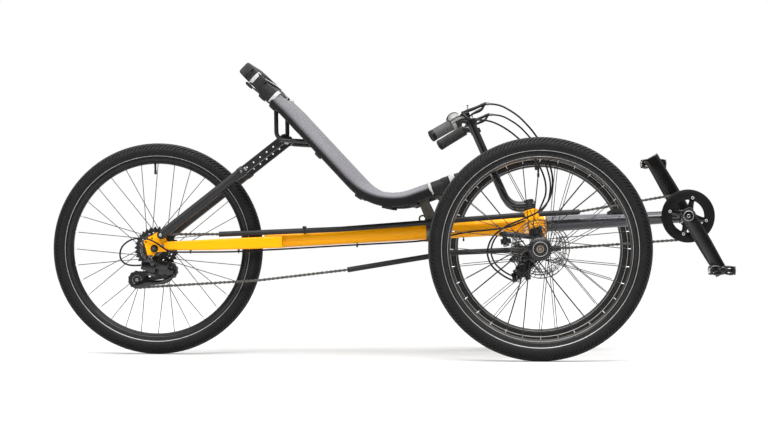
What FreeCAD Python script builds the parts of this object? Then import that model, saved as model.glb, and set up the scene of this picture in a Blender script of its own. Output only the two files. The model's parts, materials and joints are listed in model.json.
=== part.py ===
import FreeCAD, Part
import math
import os
from FreeCAD import Vector, Placement, Rotation

# Recumbent tadpole trike: two steered wheels in front, one driven wheel behind.
# Millimetres. +X forward, +Y to the rider's left, +Z up, ground at Z = 0.
# All places below are written from the front axle line (X = 0 there); at() moves
# them so that the origin is the middle of the whole box, on the ground.

doc = FreeCAD.newDocument("recumbent_trike")

# ---------------------------------------------------------------- driving sizes
# alias, value in mm or degrees, what it is
SIZES = [
    ("front_axle_x", 421.4, "front axle ahead of the middle of the box"),
    ("wheelbase", 1087.0, "front axle to rear axle"),
    ("half_track", 400.0, "middle to front wheel plane"),
    ("axle_height", 300.5, "wheel centre above ground"),
    ("tyre_outer_radius", 300.5, "loaded tyre radius"),
    ("tyre_half_width", 23.5, "tyre section"),
    ("rim_inner_radius", 244.7, "rim bed"),
    ("rim_seat_radius", 253.5, "bead seat"),
    ("rim_flange_radius", 259.5, "rim flange"),
    ("rim_half_width", 13.0, "rim"),
    ("spoke_radius", 1.0, "2 mm spokes"),
    ("spoke_count", 32.0, "spokes per wheel"),
    ("main_tube_radius", 25.0, "main tube outside"),
    ("main_tube_bore", 22.2, "main tube inside"),
    ("main_tube_z", 369.0, "main tube centre above the front axle"),
    ("main_tube_slope", 0.0556, "rise per length"),
    ("boom_rear_radius", 22.0, "boom where it slides in the main tube"),
    ("boom_front_radius", 18.0, "boom at the cranks"),
    ("bracket_x", 415.0, "bottom bracket ahead of the front axle"),
    ("bracket_radius", 20.5, "bottom bracket shell"),
    ("bracket_half_width", 34.0, "bottom bracket shell"),
    ("spindle_radius", 9.0, "crank spindle"),
    ("crank_length", 175.0, "crank"),
    ("crank_angle", 60.0, "right crank below forward"),
    ("chain_plane_y", 43.5, "chain to the right of the middle"),
    ("chain_half_height", 4.2, "chain side plate"),
    ("chain_half_width", 3.5, "chain"),
    ("chainring_pitch_radius", 64.79, "32 teeth of 12.7 mm"),
    ("cog_pitch_radius", 40.59, "20 teeth of 12.7 mm"),
    ("pulley_pitch_radius", 22.54, "11 teeth of 12.7 mm"),
    ("guard_radius", 74.7, "chain guard"),
    ("chain_tube_radius", 7.5, "chain tube outside"),
    ("chain_tube_bore", 5.9, "chain tube inside"),
    ("kingpin_x", -23.0, "kingpin axis at its reference height"),
    ("kingpin_y", 320.0, "kingpin axis at its reference height"),
    ("kingpin_z", 393.0, "kingpin reference height"),
    ("kingpin_radius", 10.0, "kingpin"),
    ("kingpin_clearance", 0.05, "kingpin running clearance"),
    ("head_tube_radius", 19.0, "head tube"),
    ("head_tube_length", 52.0, "head tube"),
    ("arm_tube_radius", 17.0, "cross member arm"),
    ("stub_axle_radius", 10.0, "front stub axle"),
    ("disc_radius", 80.0, "brake disc"),
    ("disc_thickness", 2.0, "brake disc"),
    ("handlebar_radius", 11.1, "handlebar tube"),
    ("grip_radius", 15.5, "grip"),
    ("tie_rod_radius", 6.0, "tie rod"),
    ("seat_half_width", 200.0, "middle to seat rail"),
    ("seat_rail_radius", 12.7, "seat rail"),
    ("seat_sleeve_radius", 20.5, "padded sleeve round the rail"),
    ("seat_cross_radius", 11.0, "seat cross tubes"),
    ("stay_radius", 13.0, "seat stay"),
    ("stay_y", 91.0, "middle to seat stay"),
    ("rack_eyelet_radius", 2.6, "M5 eyelet"),
    ("rear_axle_radius", 5.0, "rear axle bolt"),
    ("dropout_thickness", 8.0, "dropout plate"),
    ("dropout_inner_y", 67.5, "middle to dropout inner face"),
    ("cable_radius", 2.5, "cable housing"),
    ("pedal_length", 74.0, "pedal along the bike"),
    ("pedal_width", 92.0, "pedal across the bike"),
    ("pedal_thickness", 24.0, "pedal"),
]
sheet = doc.addObject("Spreadsheet::Sheet", "Sizes")
P = {}
for row, (alias, value, note) in enumerate(SIZES, start=1):
    sheet.set("A%d" % row, note)
    sheet.set("B%d" % row, repr(value))
    sheet.setAlias("B%d" % row, alias)
    P[alias] = value
doc.recompute()

FX = P["front_axle_x"]
RX = -P["wheelbase"]
AZ = P["axle_height"]
CY = -P["chain_plane_y"]


def at(x, y, z):
    return Vector(x + FX, y, z)


def bind(obj, prop, text):
    """Bind a property to a cell, or to an expression of cells."""
    for alias, _, _ in SIZES:
        text = text.replace("<%s>" % alias, "Sizes.%s" % alias)
    obj.setExpression(prop, text)


# ---------------------------------------------------------------- small builders
PARTS = []      # the sub-parts that are exported


def keep(obj, label):
    obj.Label = label
    PARTS.append(obj)
    return obj


def aim(direction):
    return Rotation(Vector(0, 0, 1), direction)


def rod(name, a, b, radius, back=0.0, ahead=0.0):
    """Round bar from a to b; radius is a cell expression."""
    d = b.sub(a)
    n = Vector(d)
    n.normalize()
    obj = doc.addObject("Part::Cylinder", name)
    bind(obj, "Radius", radius)
    obj.Height = d.Length + back + ahead
    obj.Placement = Placement(a - n * back, aim(n))
    return obj


def box(name, centre, size, rotation=None):
    obj = doc.addObject("Part::Box", name)
    obj.Length, obj.Width, obj.Height = size
    rot = rotation or Rotation()
    half = rot.multVec(Vector(size[0] / 2, size[1] / 2, size[2] / 2))
    obj.Placement = Placement(centre - half, rot)
    return obj


def fuse(name, items):
    if len(items) == 1:
        return items[0]
    obj = doc.addObject("Part::MultiFuse", name)
    obj.Shapes = items
    return obj


def join(name, items):
    """Fuse one after the other."""
    last = items[0]
    for i, item in enumerate(items[1:]):
        obj = doc.addObject("Part::Fuse", "%s_%d" % (name, i))
        obj.Base = last
        obj.Tool = item
        last = obj
    return last


def cut(name, base, tool):
    obj = doc.addObject("Part::Cut", name)
    obj.Base = base
    obj.Tool = tool
    return obj


def group(name, items):
    obj = doc.addObject("Part::Compound", name)
    obj.Links = items
    return obj


def mirror(name, source):
    obj = doc.addObject("Part::Mirroring", name)
    obj.Source = source
    obj.Base = Vector(0, 0, 0)
    obj.Normal = Vector(0, 1, 0)
    return obj


def rounded(points, radii=None, label=None):
    """Straight runs joined by tangent arcs through a few corner points.
    A radius of 0 takes 0.45 of the shorter run."""
    edges = []
    last = points[0]
    used = []
    for i in range(1, len(points) - 1):
        p = points[i]
        a = points[i - 1].sub(p)
        b = points[i + 1].sub(p)
        la, lb = a.Length, b.Length
        a.normalize()
        b.normalize()
        turn = math.pi - a.getAngle(b)
        if turn < 1e-4:
            continue
        r = (radii[i - 1] if radii else 0.0) or 0.45 * min(la, lb) / math.tan(turn / 2)
        t = r * math.tan(turn / 2)
        s, e = p + a * t, p + b * t
        axis = a + b
        axis.normalize()
        centre = p + axis * (r / math.cos(turn / 2))
        mid = centre - axis * r
        if (s - last).Length > 1e-6:
            edges.append(Part.LineSegment(last, s).toShape())
        edges.append(Part.Arc(s, mid, e).toShape())
        used.append(r)
        last = e
    edges.append(Part.LineSegment(last, points[-1]).toShape())
    if label:
        print("radii", label, " ".join("%.0f" % r for r in used))
    return Part.Wire(edges)


def pipe(name, points, radius, radii=None, label=None):
    """Round tube along a rounded path: a spine, a circle and a sweep."""
    wire = rounded(points, radii, label)
    spine = doc.addObject("Part::Feature", name + "_spine")
    spine.Shape = wire
    ring = doc.addObject("Part::Circle", name + "_ring")
    bind(ring, "Radius", radius)
    d = points[1].sub(points[0])
    ring.Placement = Placement(points[0], aim(d))
    sweep = doc.addObject("Part::Sweep", name)
    sweep.Sections = [ring]
    sweep.Spine = (spine, ["Edge%d" % (i + 1) for i in range(len(wire.Edges))])
    sweep.Solid = True
    sweep.Frenet = False
    sweep.Transition = "Transformed"
    return sweep


def body(name):
    return doc.addObject("PartDesign::Body", name)


def sketch(b, name, role, offset=0.0):
    s = b.newObject("Sketcher::SketchObject", name)
    plane = [o for o in b.Origin.OriginFeatures if o.Role == role][0]
    s.AttachmentSupport = (plane, [""])
    s.MapMode = "FlatFace"
    s.AttachmentOffset = Placement(Vector(0, 0, offset), Rotation())
    return s


def outline(s, items):
    """Closed outline. Each item is a corner (u, v), or (u, v, mu, mv) for a
    corner reached by an arc through (mu, mv)."""
    ids = []
    n = len(items)
    for i in range(n):
        u0, v0 = items[i][:2]
        nxt = items[(i + 1) % n]
        u1, v1 = nxt[:2]
        if len(nxt) == 4:
            arc = Part.Arc(Vector(u0, v0, 0), Vector(nxt[2], nxt[3], 0), Vector(u1, v1, 0))
            c = arc.toShape().Curve
            a0 = math.atan2(v0 - c.Center.y, u0 - c.Center.x)
            a1 = math.atan2(v1 - c.Center.y, u1 - c.Center.x)
            am = math.atan2(nxt[3] - c.Center.y, nxt[2] - c.Center.x)
            ccw = ((am - a0) % (2 * math.pi)) < ((a1 - a0) % (2 * math.pi))
            circle = Part.Circle(Vector(c.Center.x, c.Center.y, 0), Vector(0, 0, 1), c.Radius)
            geo = Part.ArcOfCircle(circle, a0, a1) if ccw else Part.ArcOfCircle(circle, a1, a0)
            ids.append(s.addGeometry(geo, False))
        else:
            ids.append(s.addGeometry(Part.LineSegment(Vector(u0, v0, 0), Vector(u1, v1, 0)), False))
    return ids


def disc_in(s, u, v, radius, cell=None):
    import Sketcher
    g = s.addGeometry(Part.Circle(Vector(u, v, 0), Vector(0, 0, 1), radius), False)
    k = s.addConstraint(Sketcher.Constraint("Radius", g, radius))
    if cell:
        bind(s, "Constraints[%d]" % k, cell)
    return g


def revolved(name, items, centre):
    """Ring or drum about its own Y axis: outline is (radius, y)."""
    b = body(name)
    s = sketch(b, name + "_profile", "XY_Plane")
    outline(s, items)
    r = b.newObject("PartDesign::Revolution", name + "_turn")
    r.Profile = s
    r.ReferenceAxis = (s, ["V_Axis"])
    r.Angle = 360.0
    b.Placement = Placement(centre, Rotation())
    return b


def plate(name, items, thickness, centre, holes=(), cell=None, rotation=None):
    """Plate in the XZ plane with its outline as (x, z); it is centred on its
    thickness. holes are (x, z, radius, cell or None)."""
    b = body(name)
    s = sketch(b, name + "_outline", "XY_Plane")
    if items and isinstance(items[0], tuple):
        outline(s, items)
    else:
        disc_in(s, 0, 0, items[0], items[1] if len(items) > 1 else None)
    for hx, hz, hr, hc in holes:
        disc_in(s, hx, hz, hr, hc)
    p = b.newObject("PartDesign::Pad", name + "_pad")
    p.Profile = s
    p.Length = thickness
    p.Midplane = True
    if cell:
        bind(p, "Length", cell)
    turn = Rotation(Vector(1, 0, 0), 90)
    b.Placement = Placement(centre, (rotation or Rotation()) * turn)
    return b


# ---------------------------------------------------------------- frame
def tube_z(x):
    """Height of the main tube's centre line."""
    return P["main_tube_z"] + P["main_tube_slope"] * x


SLOPE = Vector(1, 0, P["main_tube_slope"])
SLOPE.normalize()
MT_REAR, MT_FRONT = -772.0, 20.0
BB = at(P["bracket_x"], 0, tube_z(P["bracket_x"]))

mt_out = rod("MainTubeOuter", at(MT_REAR, 0, tube_z(MT_REAR)), at(MT_FRONT, 0, tube_z(MT_FRONT)), "<main_tube_radius>")
mt_in = rod("MainTubeInner", at(MT_REAR + 5, 0, tube_z(MT_REAR + 5)), at(MT_FRONT + 5, 0, tube_z(MT_FRONT + 5)), "<main_tube_bore>")

# boom clamp collar round the main tube's front end, with its pinch lug below
col_a, col_b = at(-2, 0, tube_z(-2)), at(17, 0, tube_z(17))
collar_body = rod("CollarOuter", col_a, col_b, "<main_tube_radius> + 3.2")
collar_lug = box("CollarLug", at(7.5, 0, tube_z(7.5) - 32), (17, 14, 16))
keep(cut("MainTube", fuse("MainTubeWithCollar", [mt_out, collar_body, collar_lug]), mt_in), "main_tube")

# boom: straight where it slides in, tapered, straight to the bottom bracket
b0, b1, b2, b3 = -150.0, 90.0, 330.0, P["bracket_x"]
boom_a = rod("BoomRear", at(b0, 0, tube_z(b0)), at(b1, 0, tube_z(b1)), "<boom_rear_radius>")
boom_b = doc.addObject("Part::Cone", "BoomTaper")
bind(boom_b, "Radius1", "<boom_rear_radius>")
bind(boom_b, "Radius2", "<boom_front_radius>")
boom_b.Height = at(b2, 0, tube_z(b2)).sub(at(b1, 0, tube_z(b1))).Length
boom_b.Placement = Placement(at(b1, 0, tube_z(b1)), aim(SLOPE))
boom_c = rod("BoomFront", at(b2, 0, tube_z(b2)), BB, "<boom_front_radius>")
shell = rod("BracketShell", BB + Vector(0, -P["bracket_half_width"], 0), BB + Vector(0, P["bracket_half_width"], 0), "<bracket_radius>")
boom_core = rod("BoomCore", at(b0, 0, tube_z(b0)), at(b3 - 30, 0, tube_z(b3 - 30)), "<boom_front_radius> - 2.2", 5, 0)
spindle_bore = rod("SpindleBore", BB + Vector(0, -50, 0), BB + Vector(0, 50, 0), "<spindle_radius> + 0.05")
boom_solid = fuse("BoomSolid", [boom_a, boom_b, boom_c, shell])
keep(cut("Boom", boom_solid, fuse("BoomBores", [boom_core, spindle_bore])), "boom")

# low tapered block standing on the boom, and the ring eye on the main tube
bx0, bx1 = 190.0, 248.0
block = plate("BoomBlockPlate", [(0, 0), (58, 1.5), (58, 14), (46, 15.5), (16, 12.5), (0, 4)], 18.0,
              at(bx0, 0, tube_z(bx0) + 20.6))
boom_skin = doc.addObject("Part::Cylinder", "BoomSkin")
bind(boom_skin, "Radius", "<boom_rear_radius> - 1.2")
boom_skin.Height = 140
boom_skin.Placement = Placement(at(150, 0, tube_z(150)), aim(SLOPE))
keep(cut("BoomBlock", block, boom_skin), "boom_block")

ring_x = -331.0
ring_z = tube_z(ring_x) + P["main_tube_radius"] + 10.5
ring = doc.addObject("Part::Torus", "RingEye")
ring.Radius1, ring.Radius2 = 9.0, 2.4
ring.Placement = Placement(at(ring_x, -12, ring_z - 1), Rotation(Vector(1, 0, 0), 90))
ring_foot = rod("RingFoot", at(ring_x, -12, ring_z - 9), at(ring_x, -12, ring_z - 17), "3.0")
ring_solid = fuse("RingSolid", [ring, ring_foot])
tube_solid = rod("MainTubeSolid", at(MT_REAR, 0, tube_z(MT_REAR)), at(MT_FRONT, 0, tube_z(MT_FRONT)), "<main_tube_radius>")
keep(cut("RingEyeFitted", ring_solid, tube_solid), "ring_eye")

# kingpin axis of the right side: it meets the ground under the tyre
KC = at(P["kingpin_x"], -P["kingpin_y"], P["kingpin_z"])
KG = at(74.2, -P["half_track"], 0.0)
KD = KC.sub(KG)
KD.normalize()


def pin_at(t, side=-1):
    p = KC + KD * t
    return Vector(p.x, p.y * (1 if side < 0 else -1), p.z)


HEAD_LOW, HEAD_TOP = 12.0 - P["head_tube_length"], 12.0
head = rod("HeadTubeOuter", pin_at(HEAD_LOW), pin_at(HEAD_TOP), "<head_tube_radius>")
arm_inner = at(-33, -8, 352)
arm_outer = pin_at(-14)
arm = rod("CrossArmTube", arm_inner, arm_outer, "<arm_tube_radius>")
head_bore = rod("HeadBore", pin_at(HEAD_LOW), pin_at(HEAD_TOP), "<kingpin_radius> + <kingpin_clearance>", 30, 30)
arm_trim = rod("ArmTrim", pin_at(HEAD_LOW - 40), pin_at(HEAD_LOW), "<head_tube_radius> + 12")
cross_right = cut("CrossRight", fuse("CrossRightSolid", [head, arm]),
                  fuse("CrossRightTools", [head_bore, arm_trim, tube_solid]))
keep(group("CrossMember", [cross_right, mirror("CrossLeft", cross_right)]), "cross_member")

# chainstays: tapered flat tubes beside the main tube's rear end, back to the dropouts
# station x, y of middle, z of middle, half width, half height
STAY_STATIONS = [(-728.0, 35.0, 319.5, 9.5, 17.0), (-926.0, 57.5, 311.5, 9.0, 15.5), (-1058.0, 72.0, 308.0, 8.0, 12.0)]


def stay_section(x, y, z, w, h):
    c = 5.0     # corner radius
    k = c * (1 - math.sqrt(0.5))
    y = -y
    p = [(y - w + c, z - h), (y + w - c, z - h), (y + w, z - h + c), (y + w, z + h - c),
         (y + w - c, z + h), (y - w + c, z + h), (y - w, z + h - c), (y - w, z - h + c)]
    m = [None, (y + w - k, z - h + k), None, (y + w - k, z + h - k), None, (y - w + k, z + h - k), None, (y - w + k, z - h + k)]
    edges = []
    for i in range(8):
        a, b = p[i], p[(i + 1) % 8]
        va, vb = at(x, a[0], a[1]), at(x, b[0], b[1])
        if m[i]:
            edges.append(Part.Arc(va, at(x, m[i][0], m[i][1]), vb).toShape())
        else:
            edges.append(Part.LineSegment(va, vb).toShape())
    return Part.Wire(edges)


stay_wires = []
for i, st in enumerate(STAY_STATIONS):
    w = doc.addObject("Part::Feature", "ChainstaySection%d" % i)
    w.Shape = stay_section(*st)
    stay_wires.append(w)
cs = doc.addObject("Part::Loft", "ChainstayLoft")
cs.Sections = stay_wires
cs.Solid = True
cs.Ruled = True
cs_right = cut("ChainstayRight", cs, tube_solid)
keep(group("Chainstays", [cs_right, mirror("ChainstayLeft", cs_right)]), "chainstays")

# dropout plates, outline from the rear axle as (x, z); the right one carries the derailleur
DROP_Y = P["dropout_inner_y"] + P["dropout_thickness"] / 2
RIGHT_DROP = [(-30.5, 22.0), (-22.0, 25.5), (-16.0, 33.5), (-5.0, 37.0), (14.0, 47.0, 4.0, 44.0),
              (30.0, 40.0, 25.0, 47.5), (34.0, 20.0), (34.0, -8.0), (6.0, -9.5),
              (-1.5, -20.0), (-6.0, -37.0), (-17.0, -36.0, -12.0, -40.0), (-19.5, -18.0), (-24.5, 2.0)]
LEFT_DROP = [(-30.5, 22.0), (-22.0, 25.5), (-16.0, 33.5), (-5.0, 37.0), (14.0, 47.0, 4.0, 44.0),
             (30.0, 40.0, 25.0, 47.5), (34.0, 20.0), (34.0, -8.0), (6.0, -12.5), (-14.0, -11.0, -4.0, -15.5), (-24.5, 2.0)]
DROP_HOLES = [(0.0, 0.0, P["rear_axle_radius"] + 0.05, "<rear_axle_radius> + 0.05"),
              (-24.0, 19.0, P["rack_eyelet_radius"], "<rack_eyelet_radius>"),
              (-6.5, 28.5, P["rack_eyelet_radius"], "<rack_eyelet_radius>"),
              (22.0, 38.5, 5.05, None)]
cs_solid = fuse("ChainstaySolids", [cs_right])
rd = plate("RightDropPlate", RIGHT_DROP, 8.0, at(RX, -DROP_Y, AZ), DROP_HOLES, "<dropout_thickness>")
rdrop = cut("RightDropout", rd, cs_solid)
ld = plate("LeftDropPlate", LEFT_DROP, 8.0, at(RX, DROP_Y, AZ), DROP_HOLES, "<dropout_thickness>")
keep(group("Dropouts", [rdrop, cut("LeftDropout", ld, mirror("ChainstayLeftSolid", cs_right))]), "dropouts")

# rear axle bolt with its end nuts outside the dropouts
ax_bolt = rod("RearAxleBolt", at(RX, -86, AZ), at(RX, 86, AZ), "<rear_axle_radius>")
nut_r = rod("RearNutR", at(RX, -76.0, AZ), at(RX, -83, AZ), "8.5")
nut_l = rod("RearNutL", at(RX, 76.0, AZ), at(RX, 83, AZ), "8.5")
keep(fuse("RearAxle", [ax_bolt, nut_r, nut_l]), "rear_axle")

# ---------------------------------------------------------------- seat and its stays
SEAT_Y = P["seat_half_width"]
# rail corner points seen from the side: top end, slight bend, lap corner, front end
RAIL = {"top": (-813.0, 796.5), "bend": (-697.0, 685.4), "lap": (-445.7, 416.5), "nose": (-216.0, 496.5)}


def rail(key, y):
    x, z = RAIL[key]
    return at(x, y, z)


back_pts = [rail("bend", -SEAT_Y), rail("top", -SEAT_Y), rail("top", SEAT_Y), rail("bend", SEAT_Y)]
back_hoop = pipe("SeatBackHoop", back_pts, "<seat_rail_radius>", [60, 60])
keep(back_hoop, "seat_back_hoop")
base_pts = [rail("bend", -SEAT_Y), rail("lap", -SEAT_Y), rail("nose", -SEAT_Y), rail("nose", SEAT_Y), rail("lap", SEAT_Y), rail("bend", SEAT_Y)]
keep(cut("SeatBaseHoop", pipe("SeatBasePipe", base_pts, "<seat_rail_radius>", [145, 60, 60, 145]), back_hoop), "seat_base_hoop")

# cross tubes between the rails: name, x, z of the rail line there, drop square to the rail
CROSS = [("upper", -727.0, 714.1, 9.0), ("lower", -621.0, 604.1, 9.0), ("base", -333.0, 455.7, 9.0)]
RAIL_DIR = {"upper": (-118.4, 113.4), "lower": (251.3, -268.9), "base": (229.7, 80.0)}
cross_items = []
cross_gaps = []
cross_pos = {}
for nm, x, z, drop in CROSS:
    dx, dz = RAIL_DIR[nm]
    ln = math.hypot(dx, dz)
    nx, nz = (-abs(dz) / ln, -abs(dx) / ln) if nm != "base" else (dz / ln, -dx / ln)
    cx, cz = x + nx * drop, z + nz * drop
    cross_pos[nm] = (cx, cz)
    cross_items.append(rod("SeatCross_" + nm, at(cx, -SEAT_Y + 8, cz), at(cx, SEAT_Y - 8, cz), "<seat_cross_radius>"))
    cross_gaps.append(rod("SeatCrossGap_" + nm, at(cx, -SEAT_Y + 8, cz), at(cx, SEAT_Y - 8, cz), "<seat_cross_radius> + 0.6"))
rails_cutter = fuse("RailsCutter", [
    rod("RailCutA", rail("bend", -SEAT_Y), rail("top", -SEAT_Y), "<seat_rail_radius>"),
    rod("RailCutB", rail("bend", SEAT_Y), rail("top", SEAT_Y), "<seat_rail_radius>"),
    rod("RailCutC", rail("bend", -SEAT_Y), rail("lap", -SEAT_Y), "<seat_rail_radius>"),
    rod("RailCutD", rail("bend", SEAT_Y), rail("lap", SEAT_Y), "<seat_rail_radius>"),
    rod("RailCutE", rail("lap", -SEAT_Y), rail("nose", -SEAT_Y), "<seat_rail_radius>"),
    rod("RailCutF", rail("lap", SEAT_Y), rail("nose", SEAT_Y), "<seat_rail_radius>")])
keep(cut("SeatCrossTubes", group("SeatCrossGroup", cross_items), rails_cutter), "seat_cross_tubes")


# mesh sling: a taut sheet over the rails and a padded sleeve round each rail
def side_point(key, off, ahead=0.0):
    """Rail corner moved square to the rail by off (up is positive)."""
    x, z = RAIL[key]
    d1 = (-118.4, 113.4)
    d2 = (251.3, -268.9)
    d3 = (229.7, 80.0)

    def unit(d):
        q = math.hypot(*d)
        return (d[0] / q, d[1] / q)
    u1, u2, u3 = unit((-d1[0], -d1[1])), unit(d2), unit(d3)
    n1, n2, n3 = (-u1[1], u1[0]), (-u2[1], u2[0]), (-u3[1], u3[0])
    if key == "top":
        return (x + n1[0] * off + u1[0] * ahead, z + n1[1] * off + u1[1] * ahead)
    if key == "nose":
        return (x + n3[0] * off + u3[0] * ahead, z + n3[1] * off + u3[1] * ahead)
    a, b, ua, ub = (n1, n2, u1, u2) if key == "bend" else (n2, n3, u2, u3)
    # mitre of the two offset lines
    det = ua[0] * (-ub[1]) - (-ub[0]) * ua[1]
    rx, rz = (b[0] - a[0]) * off, (b[1] - a[1]) * off
    k = (rx * (-ub[1]) - (-ub[0]) * rz) / det
    return (x + a[0] * off + ua[0] * k, z + a[1] * off + ua[1] * k)


def seat_line(off, y, trim_top, trim_nose):
    keys = [("top", trim_top), ("bend", 0.0), ("lap", 0.0), ("nose", -trim_nose)]
    pts = []
    for k, t in keys:
        px, pz = side_point(k, off, t)
        pts.append(at(px, y, pz))
    return pts


LAP_R = 145.0
lo, hi = 13.4, 20.5
# sheet as an extruded band between the two offset lines
wire_hi = rounded(seat_line(hi, -SEAT_Y, 30.0, 30.0), [300.0, LAP_R - hi])
wire_lo = rounded(seat_line(lo, -SEAT_Y, 30.0, 30.0), [300.0, LAP_R - lo])
v = [wire_hi.OrderedVertexes[0].Point, wire_hi.OrderedVertexes[-1].Point, wire_lo.OrderedVertexes[0].Point, wire_lo.OrderedVertexes[-1].Point]
band_wire = Part.Wire(Part.__sortEdges__(wire_hi.Edges + wire_lo.Edges + [Part.LineSegment(v[0], v[2]).toShape(), Part.LineSegment(v[1], v[3]).toShape()]))
sheet_face = doc.addObject("Part::Feature", "SeatSheetOutline")
sheet_face.Shape = Part.Face(band_wire)
sheet_ext = doc.addObject("Part::Extrusion", "SeatSheet")
sheet_ext.Base = sheet_face
sheet_ext.DirMode = "Custom"
sheet_ext.Dir = Vector(0, 1, 0)
sheet_ext.Solid = True
bind(sheet_ext, "LengthFwd", "2 * <seat_half_width>")
sleeve_pts = seat_line(0.0, -SEAT_Y, 62.0, 62.0)
sleeve_out = pipe("SleeveOuter", sleeve_pts, "<seat_sleeve_radius>", [300.0, LAP_R])
sleeve_in = pipe("SleeveInner", seat_line(0.0, -SEAT_Y, 20.0, 20.0), "<seat_rail_radius> + 0.4", [300.0, LAP_R])
sleeve_in2 = mirror("SleeveInnerLeft", sleeve_in)
sling_solid = fuse("SlingSolid", [sheet_ext, sleeve_out, mirror("SleeveOuterLeft", sleeve_out)])
sling_tools = fuse("SlingTools", [sleeve_in, sleeve_in2] + cross_gaps)
keep(cut("SeatSling", sling_solid, sling_tools), "seat_sling")

# bracket hoops behind the backrest: bent rods from the upper to the lower cross tube
HOOP_Y = 165.0
HOOP_CORNER = (-731.7, 604.0)
ST_A, ST_B, ST_C = (-1061.0, 342.1), (-830.0, 523.0), (-724.0, 606.0)     # seat stay line, up to the bracket's bar
hoop_items = []
up = cross_pos["upper"]
low = cross_pos["lower"]
hoop = pipe("BracketHoop", [at(up[0], -HOOP_Y, up[1]), at(HOOP_CORNER[0], -HOOP_Y, HOOP_CORNER[1]), at(low[0], -HOOP_Y, low[1])], "6.0", [24])
hoop_cut = cut("BracketHoopTrim", hoop, group("HoopTools", [cross_items[0], cross_items[1]]))
hoop_bar = rod("BracketBar", at(ST_C[0], -HOOP_Y, ST_C[1]), at(ST_C[0], HOOP_Y, ST_C[1]), "7.0")
hoops = fuse("BracketSolid", [hoop_cut, mirror("BracketHoopLeft", hoop_cut), hoop_bar])
keep(hoops, "seat_bracket")

# seat stays: tubes from the dropouts, with perforated flat extensions that slide in them
SY = P["stay_y"]
stay = rod("SeatStayTube", at(ST_A[0], -SY, ST_A[1]), at(ST_B[0], -SY, ST_B[1]), "<stay_radius>")
ext_dir = at(ST_C[0], -SY, ST_C[1]).sub(at(ST_B[0], -SY, ST_B[1]))
ext_len = ext_dir.Length
ext_angle = math.degrees(math.atan2(ext_dir.z, ext_dir.x))
ext_rot = Rotation(Vector(0, 1, 0), -ext_angle)
ext_mid = at(ST_B[0], -SY, ST_B[1]) + ext_dir * 0.5
bar = box("StayExtensionBar", ext_mid - ext_rot.multVec(Vector(21, 0, 0)), (ext_len + 66, 10, 23), ext_rot)
ext_holes = []
for i in range(5):
    c = at(ST_B[0], -SY, ST_B[1]) + ext_dir * ((10.0 + 23.5 * i) / ext_len)
    ext_holes.append(rod("ExtHole%d" % i, c + Vector(0, -20, 0), c + Vector(0, 20, 0), "2.6"))
bar_gap = rod("BarGapForBracket", at(ST_C[0], -HOOP_Y, ST_C[1]), at(ST_C[0], HOOP_Y, ST_C[1]), "7.05")
ext = cut("StayExtension", bar, fuse("ExtTools", ext_holes + [bar_gap]))
keep(group("StayExtensions", [ext, mirror("StayExtensionLeft", ext)]), "stay_extensions")
slot = box("StaySlot", ext_mid - ext_rot.multVec(Vector(21, 0, 0)), (ext_len + 66.4, 10.2, 23.2), ext_rot)
stay_bolt = rod("StayBolt", at(RX + 22, -76, AZ + 38.5), at(RX + 22, -SY - 14, AZ + 38.5), "5.0")
stay_foot = rod("StayFoot", at(RX + 22, -76.2, AZ + 38.5), at(RX + 22, -SY - 10, AZ + 38.5), "11.0")
stay_r = cut("SeatStayRight", fuse("StaySolid", [stay, stay_foot, stay_bolt]), slot)
keep(group("SeatStays", [stay_r, mirror("SeatStayLeft", stay_r)]), "seat_stays")

# front post: two plates on a clamp ring round the main tube, up to the base cross tube
pc = cross_pos["base"]
POST = [(pc[0] - 15, pc[1] - 9), (pc[0] + 15, pc[1] - 9, pc[0], pc[1] + 16), (-283.0, 372.0), (-317.0, 370.0)]
post_plates = []
for y in (-17.0, 17.0):
    post_plates.append(plate("PostPlate%d" % int(y), POST, 5.0, at(0, y, 0)))
post_ring = rod("PostRing", at(-320, 0, tube_z(-320)), at(-282, 0, tube_z(-282)), "<main_tube_radius> + 3.5")
post = cut("SeatPost", fuse("PostSolid", post_plates + [post_ring]),
           fuse("PostTools", [tube_solid, rod("PostCrossGap", at(pc[0], -40, pc[1]), at(pc[0], 40, pc[1]), "<seat_cross_radius> + 0.05")]))
keep(post, "seat_post")

# ---------------------------------------------------------------- steering, right then left
# clamp centre on the kingpin axis; the handlebar passes through it
CLAMP = pin_at(27.5)
BAR = [CLAMP + Vector(16, 0, 1.5), at(-85, -314.5, 417), at(-148, -308, 555), at(-196, -300, 664), at(-292, -332, 607)]
BAR_R = [46, 600, 26]
axle_c = at(0, -P["half_track"], AZ)
pin_low = pin_at(-108)
kp = rod("Kingpin", pin_at(-41), pin_at(30), "<kingpin_radius>")
kp_boss = rod("KingpinBoss", pin_at(HEAD_LOW - 18), pin_at(HEAD_LOW - 0.4), "<head_tube_radius> - 1")
kp_col = rod("KingpinColumn", pin_low, pin_at(HEAD_LOW - 6), "14.0")
kp_clamp = rod("BarClamp", pin_at(HEAD_TOP + 0.4), pin_at(40), "14.5")
stub = rod("StubAxle", at(0, -333, AZ), at(0, -431, AZ), "<stub_axle_radius>")
stub_boss = rod("StubBoss", at(0, -333, AZ), at(0, -355, AZ), "16.0")
TIE = at(-96, -316, 321)     # tie rod eye, its pin nearly parallel to the kingpin
TD = Vector(-0.185144, 0.193686, 0.963435)
ARM_A, ARM_B = at(-6, -333, 333), TIE + TD * 21
s_arm = rod("SteeringArm", ARM_A, ARM_B, "7.0")
s_eye = rod("SteeringEye", TIE + TD * 16.5, TIE + TD * 25.5, "11.0")
s_pin = rod("SteeringPin", TIE + TD * 25, TIE - TD * 10, "4.0")
cal_plate = plate("CaliperPlate", [(-8, 12), (12, -8), (-30, -62), (-66, -30)], 8.0, at(0, -337, AZ))
bar_bore = rod("BarBore", BAR[0], BAR[1], "<handlebar_radius> + 0.05", 20, 0)
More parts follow.
